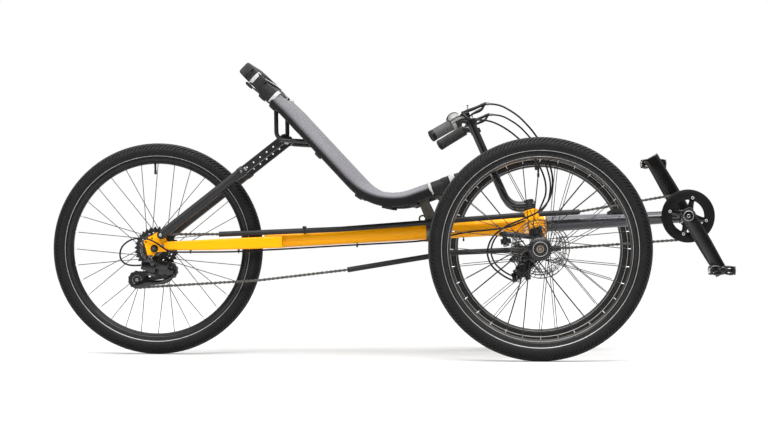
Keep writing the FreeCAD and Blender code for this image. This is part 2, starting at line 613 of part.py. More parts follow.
knuckle = cut("RightKnuckleSolid", join("KnuckleFuse", [kp, kp_boss, kp_col, kp_clamp, stub, stub_boss, s_arm, s_eye, s_pin, cal_plate]), bar_bore)
keep(knuckle, "right_knuckle")
keep(mirror("LeftKnuckle", knuckle), "left_knuckle")

hbar = pipe("RightBar", BAR, "<handlebar_radius>", BAR_R)
keep(hbar, "right_handlebar")
keep(mirror("LeftBar", hbar), "left_handlebar")

bar_end = BAR[4]
bar_dir = BAR[3].sub(BAR[4])
bar_dir.normalize()


def grip_piece(name, s0, s1, radius):
    a, b = bar_end + bar_dir * s0, bar_end + bar_dir * s1
    outer = rod(name + "Outer", a, b, radius)
    inner = rod(name + "Inner", bar_end, b, "<handlebar_radius> + 0.02", 0, 5)
    return cut(name, outer, inner)


keep(grip_piece("RightGrip", -4, 60, "<grip_radius>"), "right_grip")
keep(grip_piece("RightShifter", 60.5, 87, "<grip_radius> + 2.0"), "twist_shifter")
keep(mirror("LeftGrip", grip_piece("LeftGripSource", -4, 86, "<grip_radius>")), "left_grip")

# brake lever: clamp ring round the bar below the bend, strap up beside the bar, body and blade
LV_C = at(-187, -301.2, 645)
lv_dir = BAR[3].sub(BAR[2])
lv_dir.normalize()
lv_ring = rod("LeverRing", LV_C - lv_dir * 7, LV_C + lv_dir * 7, "15.5")
lv_body = pipe("LeverBody", [at(-199, -301.5, 655), at(-209, -302, 670), at(-186, -302, 679.5), at(-150, -302, 695.5)], "5.0")
lv_blade = pipe("LeverBlade", [at(-152, -302, 692), at(-170, -302, 678), at(-184, -302, 671.5), at(-190, -302, 664)], "3.5")
lv_strap = pipe("LeverStrap", [at(-188, -314.5, 650), at(-204, -315.5, 664), at(-208, -306, 671)], "3.5")
lv_bore = rod("LeverBore", LV_C, LV_C + lv_dir, "<handlebar_radius> + 0.1", 60, 12)
bar_cutter = pipe("BarCutter", BAR, "<handlebar_radius> + 0.1", BAR_R)
lever = cut("BrakeLever", fuse("LeverSolid", [lv_ring, lv_strap, lv_body, lv_blade]), bar_cutter)
shifter_gap = rod("ShifterGap", bar_end + bar_dir * 60, bar_end + bar_dir * 91, "<grip_radius> + 2.4")
keep(cut("RightBrakeLever", lever, shifter_gap), "right_brake_lever")
keep(mirror("LeftBrakeLever", cut("LeverLeftSource", lever, shifter_gap)), "left_brake_lever")

# caliper: a block straddling the disc, with its pad cylinder inboard
DISC_Y = -360.0
cal_rot = Rotation(Vector(0, 1, 0), -45)
cal_mid = at(-52, -358.7, AZ - 46)
cal_block = box("CaliperBlock", cal_mid, (44, 34.6, 36), cal_rot)
cal_slot = rod("CaliperSlot", at(0, DISC_Y - 3.0, AZ), at(0, DISC_Y + 3.0, AZ), "<disc_radius> + 4")
cal_arm = box("CaliperArm", at(-58, -348, AZ - 80), (16, 8, 26), Rotation(Vector(0, 1, 0), 25))
caliper = cut("CaliperCut", fuse("CaliperSolid", [cal_block, cal_arm]), cal_slot)
keep(caliper, "right_caliper")
keep(mirror("LeftCaliper", caliper), "left_caliper")

# brake cable: from the lever, forward and down, round the head tube, back and up into the caliper arm
BRAKE_CABLE = [(-147, -302, 695.7), (-108, -305, 692), (-60, -310, 664), (-12, -318, 612), (20, -326, 552),
               (36, -334, 490), (28, -346, 436), (0, -353, 402), (-45, -352, 382), (-95, -350, 362),
               (-133, -348, 330), (-145, -348, 290), (-132, -348, 254), (-100, -348, 228), (-71, -348, 214)]
cable = pipe("BrakeCable", [at(*p) for p in BRAKE_CABLE], "<cable_radius>", None, "brake cable")
cable_cut = cut("BrakeCableRight", cable, fuse("CableCutters", [lv_body, cal_arm]))
keep(cable_cut, "right_brake_cable")
keep(mirror("BrakeCableLeft", cable_cut), "left_brake_cable")

# tie rod: eyes at its ends, the left one with room round its pin
TDL = Vector(TD.x, -TD.y, TD.z)
TIE_L = Vector(TIE.x, -TIE.y, TIE.z)
tr = rod("TieRodBar", TIE, TIE_L, "<tie_rod_radius>")
tr_r = rod("TieRodEyeR", TIE - TD * 6.5, TIE + TD * 6.5, "11.0")
tr_l = rod("TieRodEyeL", TIE_L - TDL * 6.5, TIE_L + TDL * 6.5, "13.5")
tr_hr = rod("TieRodHoleR", TIE - TD * 20, TIE + TD * 20, "4.05")
tr_hl = rod("TieRodHoleL", TIE_L - TDL * 20, TIE_L + TDL * 20, "9.0")
keep(cut("TieRod", fuse("TieRodSolid", [tr, tr_r, tr_l]), fuse("TieRodHoles", [tr_hr, tr_hl])), "tie_rod")


# ---------------------------------------------------------------- wheels
def tyre(name, centre):
    q = P["tyre_outer_radius"]
    w = P["rim_seat_radius"]
    items = [(w + 0.5, -10.2), (w + 6.8, -10.2), (w + 6.8, -16.5), (w + 6.8, 16.5, q, 0.0), (w + 6.8, 10.2),
             (w + 0.5, 10.2), (w + 0.5, 7.5), (w + 6.5, 7.5), (w + 8.5, 13.0), (w + 8.5, -13.0, q - 3.5, 0.0),
             (w + 6.5, -7.5), (w + 0.5, -7.5)]
    return revolved(name, items, centre)


def rim(name, centre):
    i, w, f, h = P["rim_inner_radius"], P["rim_seat_radius"], P["rim_flange_radius"], P["rim_half_width"]
    items = [(f, -h), (w - 1.5, -h), (i, -h + 5), (i, h - 5), (w - 1.5, h), (f, h), (f, h - 2.4), (w, h - 2.4),
             (w, -h + 2.4), (f, -h + 2.4)]
    return revolved(name, items, centre)


def spokes(name, centre, left_y, right_y, flange):
    """Crossed spokes from both hub flanges to the rim bed."""
    n = int(P["spoke_count"])
    items = []
    for i in range(n):
        side = left_y if i % 2 == 0 else right_y
        lead = 1 if (i // 2) % 2 == 0 else -1
        a_rim = 2 * math.pi * i / n
        a_hub = a_rim + lead * math.radians(62)
        off = 1.6 * lead * (1 if side > 0 else -1)
        p = Vector(flange * math.cos(a_hub), side + off, flange * math.sin(a_hub))
        q = Vector((P["rim_inner_radius"] + 1.5) * math.cos(a_rim), 2.5 if side > 0 else -2.5, (P["rim_inner_radius"] + 1.5) * math.sin(a_rim))
        items.append(rod("%s_%d" % (name, i), centre + p, centre + q, "<spoke_radius>"))
    return group(name, items)


def hub(name, centre, items):
    return revolved(name, items, centre)


cr, cl, cb = at(0, -P["half_track"], AZ), at(0, P["half_track"], AZ), at(RX, 0, AZ)
bore = P["stub_axle_radius"] + 0.05
# right front hub, (radius, y from the wheel plane): disc seat inboard (+y), cap outboard (-y)
FRONT_HUB = [(bore, 33.5), (22.0, 33.5), (22.0, 25.0), (29.5, 24.0), (29.5, 20.0), (18.0, 16.0), (16.5, 0.0), (18.0, -16.0),
             (29.5, -20.0), (29.5, -24.0), (22.0, -25.0), (20.5, -37.0), (17.0, -38.0), (bore, -38.0)]
REAR_HUB = [(5.05, 64.5), (11.0, 64.5), (14.0, 33.0), (29.5, 32.0), (29.5, 28.0), (17.5, 24.0), (16.0, 3.0), (17.5, -17.0),
            (29.5, -20.0), (29.5, -24.0), (17.0, -25.5), (17.0, -61.0), (9.0, -64.5), (5.05, -64.5)]
keep(tyre("RightTyre", cr), "right_front_tyre")
keep(rim("RightRim", cr), "right_front_rim")
keep(spokes("RightSpokes", cr, 22.0, -22.0, 27.0), "right_front_spokes")
keep(hub("RightHub", cr, FRONT_HUB), "right_front_hub")
keep(tyre("LeftTyre", cl), "left_front_tyre")
keep(rim("LeftRim", cl), "left_front_rim")
keep(spokes("LeftSpokes", cl, 22.0, -22.0, 27.0), "left_front_spokes")
keep(hub("LeftHub", cl, [(r, -y) for r, y in reversed(FRONT_HUB)]), "left_front_hub")
keep(tyre("RearTyre", cb), "rear_tyre")
keep(rim("RearRim", cb), "rear_rim")
keep(spokes("RearSpokes", cb, 30.0, -22.0, 27.0), "rear_spokes")
keep(hub("RearHub", cb, REAR_HUB), "rear_hub")

# brake discs on the inboard faces of the front hubs
disc_holes = [(0.0, 0.0, 22.05, None)]
for i in range(6):
    a = math.radians(60 * i)
    disc_holes.append((47 * math.cos(a), 47 * math.sin(a), 14.0, None))
rd_ = plate("RightDiscPlate", [P["disc_radius"], "<disc_radius>"], 2.0, at(0, DISC_Y, AZ), disc_holes, "<disc_thickness>")
disc_hat = rod("DiscHat", at(0, DISC_Y - 1, AZ), at(0, -366.5, AZ), "27.0")
keep(cut("RightDisc", fuse("RightDiscSolid", [rd_, disc_hat]), fuse("RightDiscBore", [rod("DiscBoreTool", at(0, -340, AZ), at(0, -372, AZ), "16.5"), rod("HubKeepOut", at(0, -366.5, AZ), at(0, -380, AZ), "30")])), "right_disc")
keep(mirror("LeftDisc", PARTS[-1]), "left_disc")

# cassette: seven cogs, (teeth pitch radius, y of the cog)
COGS = [(60.8, -28.5), (56.7, -33.5), (48.7, -38.5), (40.6, -43.5), (34.6, -48.5), (28.6, -53.5), (24.5, -58.5)]
prof = [(17.05, -26.5)]
for i, (cr_, cy_) in enumerate(COGS):
    o = cr_ - 4.7
    prof += [(21.5, cy_ + 2.0) if i else (21.5, -26.5)] if i == 0 else []
    prof += [(20.5, cy_ + 1.0), (o, cy_ + 1.0), (o, cy_ - 1.0), (20.5 if i < 6 else o, cy_ - 1.0)]
prof = [p for k, p in enumerate(prof) if k == 0 or p != prof[k - 1]]
prof += [(17.05, -59.5)]
keep(revolved("Cassette", prof, cb), "cassette")

# ---------------------------------------------------------------- cranks and pedals
ca = math.radians(P["crank_angle"])
CR = P["crank_length"]
END_R = BB + Vector(CR * math.cos(ca), 0, -CR * math.sin(ca))
END_L = BB + Vector(-CR * math.cos(ca), 0, CR * math.sin(ca))
ARM_OUT = [(-20.0, -19.0), (192.0, -19.0), (192.0, 19.0), (-20.0, 19.0)]
ARM_HOLES = [(CR, 0.0, 7.1, None), (0.0, 0.0, P["spindle_radius"] + 0.05, "<spindle_radius> + 0.05")]
arm_r = plate("RightArmPlate", ARM_OUT, 15.0, BB + Vector(0, -75.5, 0), [(CR, 0.0, 7.1, None)], None, Rotation(Vector(0, 1, 0), P["crank_angle"]))
arm_l = plate("LeftArmPlate", ARM_OUT, 15.0, BB + Vector(0, 75.5, 0), [(CR, 0.0, 7.1, None)], None, Rotation(Vector(0, 1, 0), P["crank_angle"] + 180))
spindle = rod("Spindle", BB + Vector(0, -70, 0), BB + Vector(0, 70, 0), "<spindle_radius>")
boss_r = rod("SpiderBoss", BB + Vector(0, -50, 0), BB + Vector(0, -70, 0), "22.0")
boss_l = rod("LeftArmBoss", BB + Vector(0, 62, 0), BB + Vector(0, 70, 0), "18.0")

# spider with four arms; chainring and guard bolt to it
spider = []
for i in range(4):
    a = math.radians(75.7 + 90 * i)
    tip = Vector(52 * math.cos(a), 0, 52 * math.sin(a))
    spider.append(box("SpiderArm%d" % i, BB + tip * 0.62 + Vector(0, -51.2, 0), (46, 5.0, 17), Rotation(Vector(0, 1, 0), -math.degrees(a))))
keep(join("CrankArms", [arm_r, boss_r, spindle, boss_l, arm_l] + spider), "crank_arms")
RING_HOLES = [(0.0, 0.0, 45.0, None)]
ring_r = P["chainring_pitch_radius"] - P["chain_half_height"] - 0.45
keep(plate("ChainringPlate", [ring_r, "<chainring_pitch_radius> - <chain_half_height> - 0.45"], 3.0, BB + Vector(0, CY - 2.7 + 0.0, 0), RING_HOLES), "chainring")
PARTS[-1].Placement = Placement(BB + Vector(0, -46.9, 0), Rotation(Vector(1, 0, 0), 90))
keep(plate("GuardPlate", [P["guard_radius"], "<guard_radius>"], 3.5, BB + Vector(0, -55.6, 0), [(0.0, 0.0, 47.0, None)]), "chain_guard")


def pedal(name, centre, side):
    """Platform with an open cage: two side rails and a middle barrel."""
    w = P["pedal_width"]
    y0 = side * 10.0
    mid = centre + Vector(0, y0 + side * w / 2, 0)
    hull = box(name + "Block", mid, (P["pedal_length"], w, P["pedal_thickness"]))
    bind(hull, "Length", "<pedal_length>")
    bind(hull, "Width", "<pedal_width>")
    bind(hull, "Height", "<pedal_thickness>")
    gaps = [box(name + "GapF", mid + Vector(23, 0, 0), (18, w - 20, 60)), box(name + "GapB", mid + Vector(-23, 0, 0), (18, w - 20, 60))]
    axle = rod(name + "Axle", centre + Vector(0, -side * 6.0, 0), centre + Vector(0, side * 12, 0), "7.0")
    return fuse(name, [cut(name + "Cage", hull, fuse(name + "Gaps", gaps)), axle])


keep(pedal("RightPedal", END_R + Vector(0, -83.0, 0), -1), "right_pedal")
keep(pedal("LeftPedal", END_L + Vector(0, 83.0, 0), 1), "left_pedal")


# ---------------------------------------------------------------- chain and chain tubes
# circles the chain goes round, and free corner points, as (x, z, radius, sense);
# sense +1 turns anticlockwise seen with +X to the right, 0 is a corner point
DER_U = (-1049.0, 238.0)
DER_L = (-1140.0, 212.0)
UPPER_CORNERS = [(104.0, 403.5), (-48.0, 395.5), (-300.0, 375.5), (-560.0, 355.5), (-904.0, 341.3)]
LOWER_CORNERS = [(-791.0, 211.0), (-539.0, 241.0), (-250.0, 289.0), (-22.0, 299.0), (84.0, 303.0)]
bbx, bbz = P["bracket_x"], tube_z(P["bracket_x"])
CHAIN_STOPS = [(bbx, bbz, P["chainring_pitch_radius"], 1)] + [(x, z, 0.0, 0) for x, z in UPPER_CORNERS] \
    + [(RX, AZ, P["cog_pitch_radius"], 1), (DER_U[0], DER_U[1], P["pulley_pitch_radius"], -1)] \
    + [(DER_L[0], DER_L[1], P["pulley_pitch_radius"], 1)] + [(x, z, 0.0, 0) for x, z in LOWER_CORNERS]


def tangent(a, b):
    """Straight run that leaves circle a and reaches circle b."""
    ax, az, ar, s1 = a
    bx, bz, br, s2 = b
    dx, dz = bx - ax, bz - az
    d = math.hypot(dx, dz)
    base = math.atan2(dz, dx)
    # a circle turned anticlockwise lies on the left of the run
    k = (s1 * ar - s2 * br) / d
    th = base - math.asin(max(-1, min(1, -k)))
    ux, uz = math.cos(th), math.sin(th)
    nx, nz = -uz, ux
    return (ax - nx * s1 * ar, az - nz * s1 * ar), (bx - nx * s2 * br, bz - nz * s2 * br)


n = len(CHAIN_STOPS)
RUNS = [tangent(CHAIN_STOPS[i], CHAIN_STOPS[(i + 1) % n]) for i in range(n)]


def arc3(cx, cz, r, a0, a1, sense):
    """Arc edge about (cx, cz) in the chain plane, from angle a0 to a1."""
    if sense > 0:
        while a1 <= a0:
            a1 += 2 * math.pi
    else:
        while a1 >= a0:
            a1 -= 2 * math.pi
    am = (a0 + a1) / 2
    pts = [at(cx + r * math.cos(a), CY, cz + r * math.sin(a)) for a in (a0, am, a1)]
    return Part.Arc(*pts).toShape()


def chain_path(first, last, start=None, end=None):
    """Centre line from stop number first to last, as one wire. Corners get arcs."""
    edges = []
    cur = start
    for i in range(first, last + 1):
        x, z, r, s = CHAIN_STOPS[i % n]
        inn = RUNS[(i - 1) % n][1]
        out = RUNS[i % n][0]
        if i == first and start is None:
            cur = out
            continue
        if r > 0:
            if math.hypot(inn[0] - cur[0], inn[1] - cur[1]) > 1e-6:
                edges.append(Part.LineSegment(at(cur[0], CY, cur[1]), at(inn[0], CY, inn[1])).toShape())
            if i == last and end is None:
                return edges
            edges.append(arc3(x, z, r, math.atan2(inn[1] - z, inn[0] - x), math.atan2(out[1] - z, out[0] - x), s))
            cur = out
        else:
            edges.append(Part.LineSegment(at(cur[0], CY, cur[1]), at(x, CY, z)).toShape())
            cur = (x, z)
    if end is not None:
        edges.append(Part.LineSegment(at(cur[0], CY, cur[1]), at(end[0], CY, end[1])).toShape())
    return edges


def strip(name, edges, half):
    """Flat chain strip along the path: a rectangle swept."""
    wire = Part.Wire(edges)
    spine = doc.addObject("Part::Feature", name + "_spine")
    spine.Shape = wire
    p0 = edges[0].valueAt(edges[0].FirstParameter)
    d = edges[0].tangentAt(edges[0].FirstParameter)
    w = P["chain_half_width"]
    side = Vector(0, 1, 0)
    upv = d.cross(side)
    pts = [p0 + side * (w * i) + upv * (half * j) for i, j in ((-1, -1), (1, -1), (1, 1), (-1, 1), (-1, -1))]
    rect = doc.addObject("Part::Feature", name + "_section")
    rect.Shape = Part.makePolygon(pts)
    sweep = doc.addObject("Part::Sweep", name)
    sweep.Sections = [rect]
    sweep.Spine = (spine, ["Edge%d" % (i + 1) for i in range(len(wire.Edges))])
    sweep.Solid = True
    sweep.Frenet = True
    sweep.Transition = "Right corner"
    return sweep


def point_on(run, x):
    (x0, z0), (x1, z1) = RUNS[run]
    k = (x - x0) / (x1 - x0)
    return (x, z0 + (z1 - z0) * k)


NU, NL = len(UPPER_CORNERS), len(LOWER_CORNERS)
i_cog, i_du, i_dl = NU + 1, NU + 2, NU + 3
top_split = ((RUNS[0][0][0] + 0 * 1), RUNS[0][0][1])
# the upper run: from the top of the chainring back to the top of the cog
keep(strip("ChainUpper", chain_path(0, i_cog), P["chain_half_height"]), "chain_upper")
# the lower run: from the tension pulley's underside forward to the chainring
low_edges = chain_path(i_dl, i_dl + NL + 1)
keep(strip("ChainLower", low_edges, P["chain_half_height"]), "chain_lower")
# the part wrapped round the front of the chainring
f_in, f_out = RUNS[n - 1][1], RUNS[0][0]
wrap_front = [arc3(bbx, bbz, P["chainring_pitch_radius"], math.atan2(f_in[1] - bbz, f_in[0] - bbx), math.atan2(f_out[1] - bbz, f_out[0] - bbx), 1)]
chain_front = strip("ChainFront", wrap_front, P["chain_half_height"])
# the part round the cog and both derailleur pulleys
rear_edges = []
for i in (i_cog, i_du, i_dl):
    x, z, r, s = CHAIN_STOPS[i]
    inn, out = RUNS[i - 1][1], RUNS[i][0]
    rear_edges.append(arc3(x, z, r, math.atan2(inn[1] - z, inn[0] - x), math.atan2(out[1] - z, out[0] - x), s))
    if i != i_dl:
        a_, b_ = RUNS[i]
        rear_edges.append(Part.LineSegment(at(a_[0], CY, a_[1]), at(b_[0], CY, b_[1])).toShape())
keep(group("ChainWraps", [chain_front, strip("ChainRear", rear_edges, P["chain_half_height"])]), "chain_wraps")


def chain_tube(name, first, last, x_first, x_last):
    """Plastic tube round the chain between two places on its path."""
    a = point_on(first - 1, x_first)
    b = point_on(last, x_last)
    edges = chain_path(first, last, a, b)
    wire = Part.Wire(edges)
    spine = doc.addObject("Part::Feature", name + "_spine")
    spine.Shape = wire
    p0 = at(a[0], CY, a[1])
    d = edges[0].tangentAt(edges[0].FirstParameter)
    out = []
    for part, cell in (("Outer", "<chain_tube_radius>"), ("Inner", "<chain_tube_bore>")):
        c = doc.addObject("Part::Circle", name + part + "_ring")
        bind(c, "Radius", cell)
        c.Placement = Placement(p0, aim(d))
        sw = doc.addObject("Part::Sweep", name + part)
        sw.Sections = [c]
        sw.Spine = (spine, ["Edge%d" % (i + 1) for i in range(len(wire.Edges))])
        sw.Solid = True
        sw.Frenet = False
        sw.Transition = "Right corner"
        out.append(sw)
    return cut(name, out[0], out[1])


keep(chain_tube("ChainTubeUpper", 1, NU, 112.0, -907.0), "chain_tube_upper")
keep(chain_tube("ChainTubeLower", i_dl + 2, i_dl + NL - 1, -542.0, 60.0), "chain_tube_lower")

# ---------------------------------------------------------------- rear derailleur
# body hangs from the dropout's lower end; the cage carries two toothed pulleys
body_r = pipe("DerailleurArm", [at(RX - 11, -79, AZ - 29), at(-1090, -75, 262), at(-1072, -62, 244), at(-1049, -54, 238)], "9.0", [12, 12])
pivot = rod("DerailleurPivot", at(RX - 11, -67.2, AZ - 29), at(RX - 11, -88, AZ - 29), "7.0")
knuckle_b = box("DerailleurBlock", at(-1082, -66, 256), (46, 16, 24), Rotation(Vector(0, 1, 0), 25))
der_tools = fuse("DerailleurTools", [rd])
keep(cut("DerailleurBody", fuse("DerailleurSolid", [body_r, pivot, knuckle_b]), der_tools), "derailleur_body")
dx_, dz_ = DER_L[0] - DER_U[0], DER_L[1] - DER_U[1]
cage_len = math.hypot(dx_, dz_)
cage_ang = math.degrees(math.atan2(dz_, dx_))
cage_items = []
for k, y in enumerate((-50.3, -36.7)):
    pl = plate("CagePlate%d" % k, [(0.0, -20.0), (cage_len, -24.0), (cage_len, 24.0, cage_len + 24.0, 0.0), (0.0, 20.0), (-14.1, 14.1), (-20.0, 0.0), (-14.1, -14.1)],
               2.4, at(DER_U[0], y, DER_U[1]), (), None, Rotation(Vector(0, 1, 0), -cage_ang))
    cage_items.append(pl)
for k, (px, pz) in enumerate((DER_U, DER_L)):
    cage_items.append(rod("Pulley%d" % k, at(px, CY - 1.8, pz), at(px, CY + 1.8, pz), "<pulley_pitch_radius> - <chain_half_height> - 0.45"))
    cage_items.append(rod("PulleyBolt%d" % k, at(px, -52.5, pz), at(px, -35, pz), "4.0"))
cage = fuse("CageSolid", cage_items)
keep(cut("DerailleurCage", cage, fuse("CageTools", [body_r, knuckle_b])), "derailleur_cage")

# ---------------------------------------------------------------- shift cable, in two lengths
SHIFT_FRONT = [(-183, -302, 651), (-148, -302, 653), (-104, -300, 636), (-56, -299, 601), (-16, -298, 552), (12, -296, 500), (18, -292, 454), (8, -288, 430)]
sf = pipe("ShiftFront", [at(*p) for p in SHIFT_FRONT], "<cable_radius>", None, "shift cable front")
keep(cut("ShiftCableFront", sf, fuse("ShiftFrontTools", [bar_cutter, lv_ring])), "shift_cable_front")
SHIFT_REAR = [(-2, -262, 408), (-4, -215, 391), (-8, -150, 383), (-20, -104, 388), (-54, -62, 374), (-86, -36, 361), (-140, -30, 353), (-205, -29.5, 348), (-265, -30, 334),
              (-325, -20, 322.5), (-400, -10, 317.5)]
SHIFT_BACK = [(-400, -10, 317.5), (-570, -9, 308.5), (-735, -10, 298.5), (-790, -36, 296), (-850, -51, 291.5), (-1000, -68, 290.5), (-1040, -84, 291), (-1062, -87, 303), (-1082, -86, 319), (-1112, -84, 331), (-1150, -82, 329), (-1182, -79, 306),
              (-1186, -76, 270), (-1160, -73, 250), (-1118, -70, 255)]
sr = pipe("ShiftRear", [at(*p) for p in SHIFT_REAR + SHIFT_BACK[1:]], "<cable_radius>", None, "shift cable rear")
keep(cut("ShiftCableRear", sr, fuse("ShiftRearTools", [tube_solid, body_r, knuckle_b])), "shift_cable_rear")

# ---------------------------------------------------------------- check and export
doc.recompute()
problems = []
for o in doc.Objects:
    if any(s in ("Invalid", "Error") for s in o.State):
        problems.append("%s %s" % (o.Name, o.State))
for o in PARTS:
    if o.Shape.isNull() or not o.Shape.isValid():
        problems.append("%s has a bad shape" % o.Label)
    if not o.Shape.Solids:
        problems.append("%s has no solid" % o.Label)
if problems:
    raise RuntimeError("; ".join(problems))

total = FreeCAD.BoundBox()
os.makedirs("parts", exist_ok=True)
for o in PARTS:
    bb = o.Shape.BoundBox
    total.add(bb)
    o.Shape.exportStep("parts/%s.step" % o.Label)
print("nodes", len(PARTS))
print("box x %.1f %.1f y %.1f %.1f z %.1f %.1f" % (total.XMin, total.XMax, total.YMin, total.YMax, total.ZMin, total.ZMax))
for o in PARTS:
    if "cable" in o.Label:
        print("cable", o.Label, "volume %.0f" % o.Shape.Volume, "solids", len(o.Shape.Solids))
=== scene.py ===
"""Recumbent trike: the looks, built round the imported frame.

Lengths in this file are millimetres measured from the front axle line, and
become metres in the row frame when a piece is made."""
import bpy
import bmesh
import json
import math
from mathutils import Vector, Matrix, noise
from mathutils.geometry import tessellate_polygon

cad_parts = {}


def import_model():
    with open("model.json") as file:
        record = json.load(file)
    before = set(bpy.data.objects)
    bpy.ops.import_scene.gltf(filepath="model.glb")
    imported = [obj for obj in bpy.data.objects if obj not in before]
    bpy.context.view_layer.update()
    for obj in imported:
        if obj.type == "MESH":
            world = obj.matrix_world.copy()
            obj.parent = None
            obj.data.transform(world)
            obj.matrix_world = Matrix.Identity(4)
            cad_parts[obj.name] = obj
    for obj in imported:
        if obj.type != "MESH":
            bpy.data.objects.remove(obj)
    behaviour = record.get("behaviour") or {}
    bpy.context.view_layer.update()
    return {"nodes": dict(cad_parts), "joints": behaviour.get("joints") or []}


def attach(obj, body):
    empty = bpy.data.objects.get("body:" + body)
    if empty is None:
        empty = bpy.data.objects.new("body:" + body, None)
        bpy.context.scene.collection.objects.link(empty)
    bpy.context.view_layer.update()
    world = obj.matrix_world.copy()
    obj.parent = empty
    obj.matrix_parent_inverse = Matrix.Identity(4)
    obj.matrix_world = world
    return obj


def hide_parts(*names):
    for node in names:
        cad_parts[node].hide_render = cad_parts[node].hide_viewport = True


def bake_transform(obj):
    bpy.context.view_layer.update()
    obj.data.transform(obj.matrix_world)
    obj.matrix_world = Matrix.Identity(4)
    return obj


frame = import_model()
J = {j["name"]: j for j in frame["joints"]}
FX = J["right_front_spin"]["pos_m"][0]
AZ = J["right_front_spin"]["pos_m"][2] * 1000
RX = (J["rear_spin"]["pos_m"][0] - FX) * 1000
HT = J["left_front_spin"]["pos_m"][1] * 1000
BBX = (J["crank_spin"]["pos_m"][0] - FX) * 1000
BBZ = J["crank_spin"]["pos_m"][2] * 1000
X, Y, Z = Vector((1, 0, 0)), Vector((0, 1, 0)), Vector((0, 0, 1))
PI = math.pi


def P(x, y, z):
    return Vector((x, y, z))


def world(v):
    return Vector((FX + v[0] / 1000.0, v[1] / 1000.0, v[2] / 1000.0))


# ------------------------------------------------------------------ materials
MATS = {}


class Mat:
    """One procedural material, with short helpers for its nodes."""

    def __init__(self, name):
        self.m = bpy.data.materials.new(name)
        self.m.use_nodes = True
        self.nt = self.m.node_tree
        self.nt.nodes.clear()
        self.out = self.nt.nodes.new("ShaderNodeOutputMaterial")
        self.b = self.nt.nodes.new("ShaderNodeBsdfPrincipled")
        self.nt.links.new(self.b.outputs[0], self.out.inputs[0])
        self.height = None
        MATS[name] = self.m

    def node(self, kind):
        return self.nt.nodes.new(kind)

    def link(self, a, b):
        self.nt.links.new(a, b)

    def put(self, name, v):
        self.b.inputs[name].default_value = v

    def coords(self, scale=(1, 1, 1), loc=(0, 0, 0), uv=False, rot=(0, 0, 0)):
        t = self.node("ShaderNodeTexCoord")
        m = self.node("ShaderNodeMapping")
        m.inputs["Scale"].default_value = scale
        m.inputs["Location"].default_value = loc
        m.inputs["Rotation"].default_value = rot
        self.link(t.outputs["UV" if uv else "Object"], m.inputs["Vector"])
        return m.outputs[0]

    def noise(self, vec, scale, detail=4.0, rough=0.55):
        n = self.node("ShaderNodeTexNoise")
        n.inputs["Scale"].default_value = scale
        n.inputs["Detail"].default_value = detail
        n.inputs["Roughness"].default_value = rough
        self.link(vec, n.inputs["Vector"])
        return n.outputs["Fac"]

    def voronoi(self, vec, scale, feature="F1", rand=1.0, out="Distance"):
        n = self.node("ShaderNodeTexVoronoi")
        n.feature = feature
        n.inputs["Scale"].default_value = scale
        n.inputs["Randomness"].default_value = rand
        self.link(vec, n.inputs["Vector"])
        return n.outputs[out]

    def wave(self, vec, scale, kind="BANDS", direction="X", distortion=0.0, detail=0.0):
        n = self.node("ShaderNodeTexWave")
        n.wave_type = kind
        if kind == "BANDS":
            n.bands_direction = direction
        else:
            n.rings_direction = direction
        n.inputs["Scale"].default_value = scale
        n.inputs["Distortion"].default_value = distortion
        n.inputs["Detail"].default_value = detail
        self.link(vec, n.inputs["Vector"])
        return n.outputs["Fac"]

    def ramp(self, fac, stops):
        r = self.node("ShaderNodeValToRGB")
        e = r.color_ramp.elements
        while len(e) < len(stops):
            e.new(0.5)
        for i, (p, c) in enumerate(stops):
            e[i].position = p
            if not hasattr(c, "__len__"):
                c = (c, c, c)
            e[i].color = (*c, 1.0)
        self.link(fac, r.inputs[0])
        return r.outputs[0]

    def maths(self, op, a, b):
        n = self.node("ShaderNodeMath")
        n.operation = op
        for i, v in enumerate((a, b)):
            if isinstance(v, (int, float)):
                n.inputs[i].default_value = v
            else:
                self.link(v, n.inputs[i])
        return n.outputs[0]

    def mix(self, fac, a, b):
        n = self.node("ShaderNodeMix")
        n.data_type = "RGBA"
        if isinstance(fac, (int, float)):
            n.inputs[0].default_value = fac
        else:
            self.link(fac, n.inputs[0])
        for i, v in ((6, a), (7, b)):
            if hasattr(v, "default_value") or hasattr(v, "links"):
                self.link(v, n.inputs[i])
            else:
                n.inputs[i].default_value = (*v, 1.0)
        return n.outputs[2]

    def colour(self, s):
        self.link(s, self.b.inputs["Base Color"])

    def rough(self, s):
        self.link(s, self.b.inputs["Roughness"])

    def bump(self, height, strength, distance=0.001):
        n = self.node("ShaderNodeBump")
        n.inputs["Strength"].default_value = strength
        n.inputs["Distance"].default_value = distance
        self.link(height, n.inputs["Height"])
        if self.height is not None:
            self.link(self.height, n.inputs["Normal"])
        self.height = n.outputs[0]
        self.link(self.height, self.b.inputs["Normal"])


def coated(name, lo, hi, rough, metal=0.0, coat=0.0, coat_rough=0.08, grain=900.0, peel=0.05, patch=7.0, spec=0.5):
    """Painted, anodised or moulded surface: slight colour and gloss variation, and a fine grain."""
    m = Mat(name)
    v = m.coords()
    m.colour(m.ramp(m.noise(v, patch, 3), [(0.3, lo), (0.7, hi)]))
    m.rough(m.ramp(m.noise(v, patch * 4.3, 5), [(0.3, rough[0]), (0.7, rough[1])]))
    m.put("Metallic", metal)
    m.put("Coat Weight", coat)
    m.put("Coat Roughness", coat_rough)
    m.put("Specular IOR Level", spec)
    m.bump(m.noise(v, grain, 2), peel, 0.0006)
    return m.m


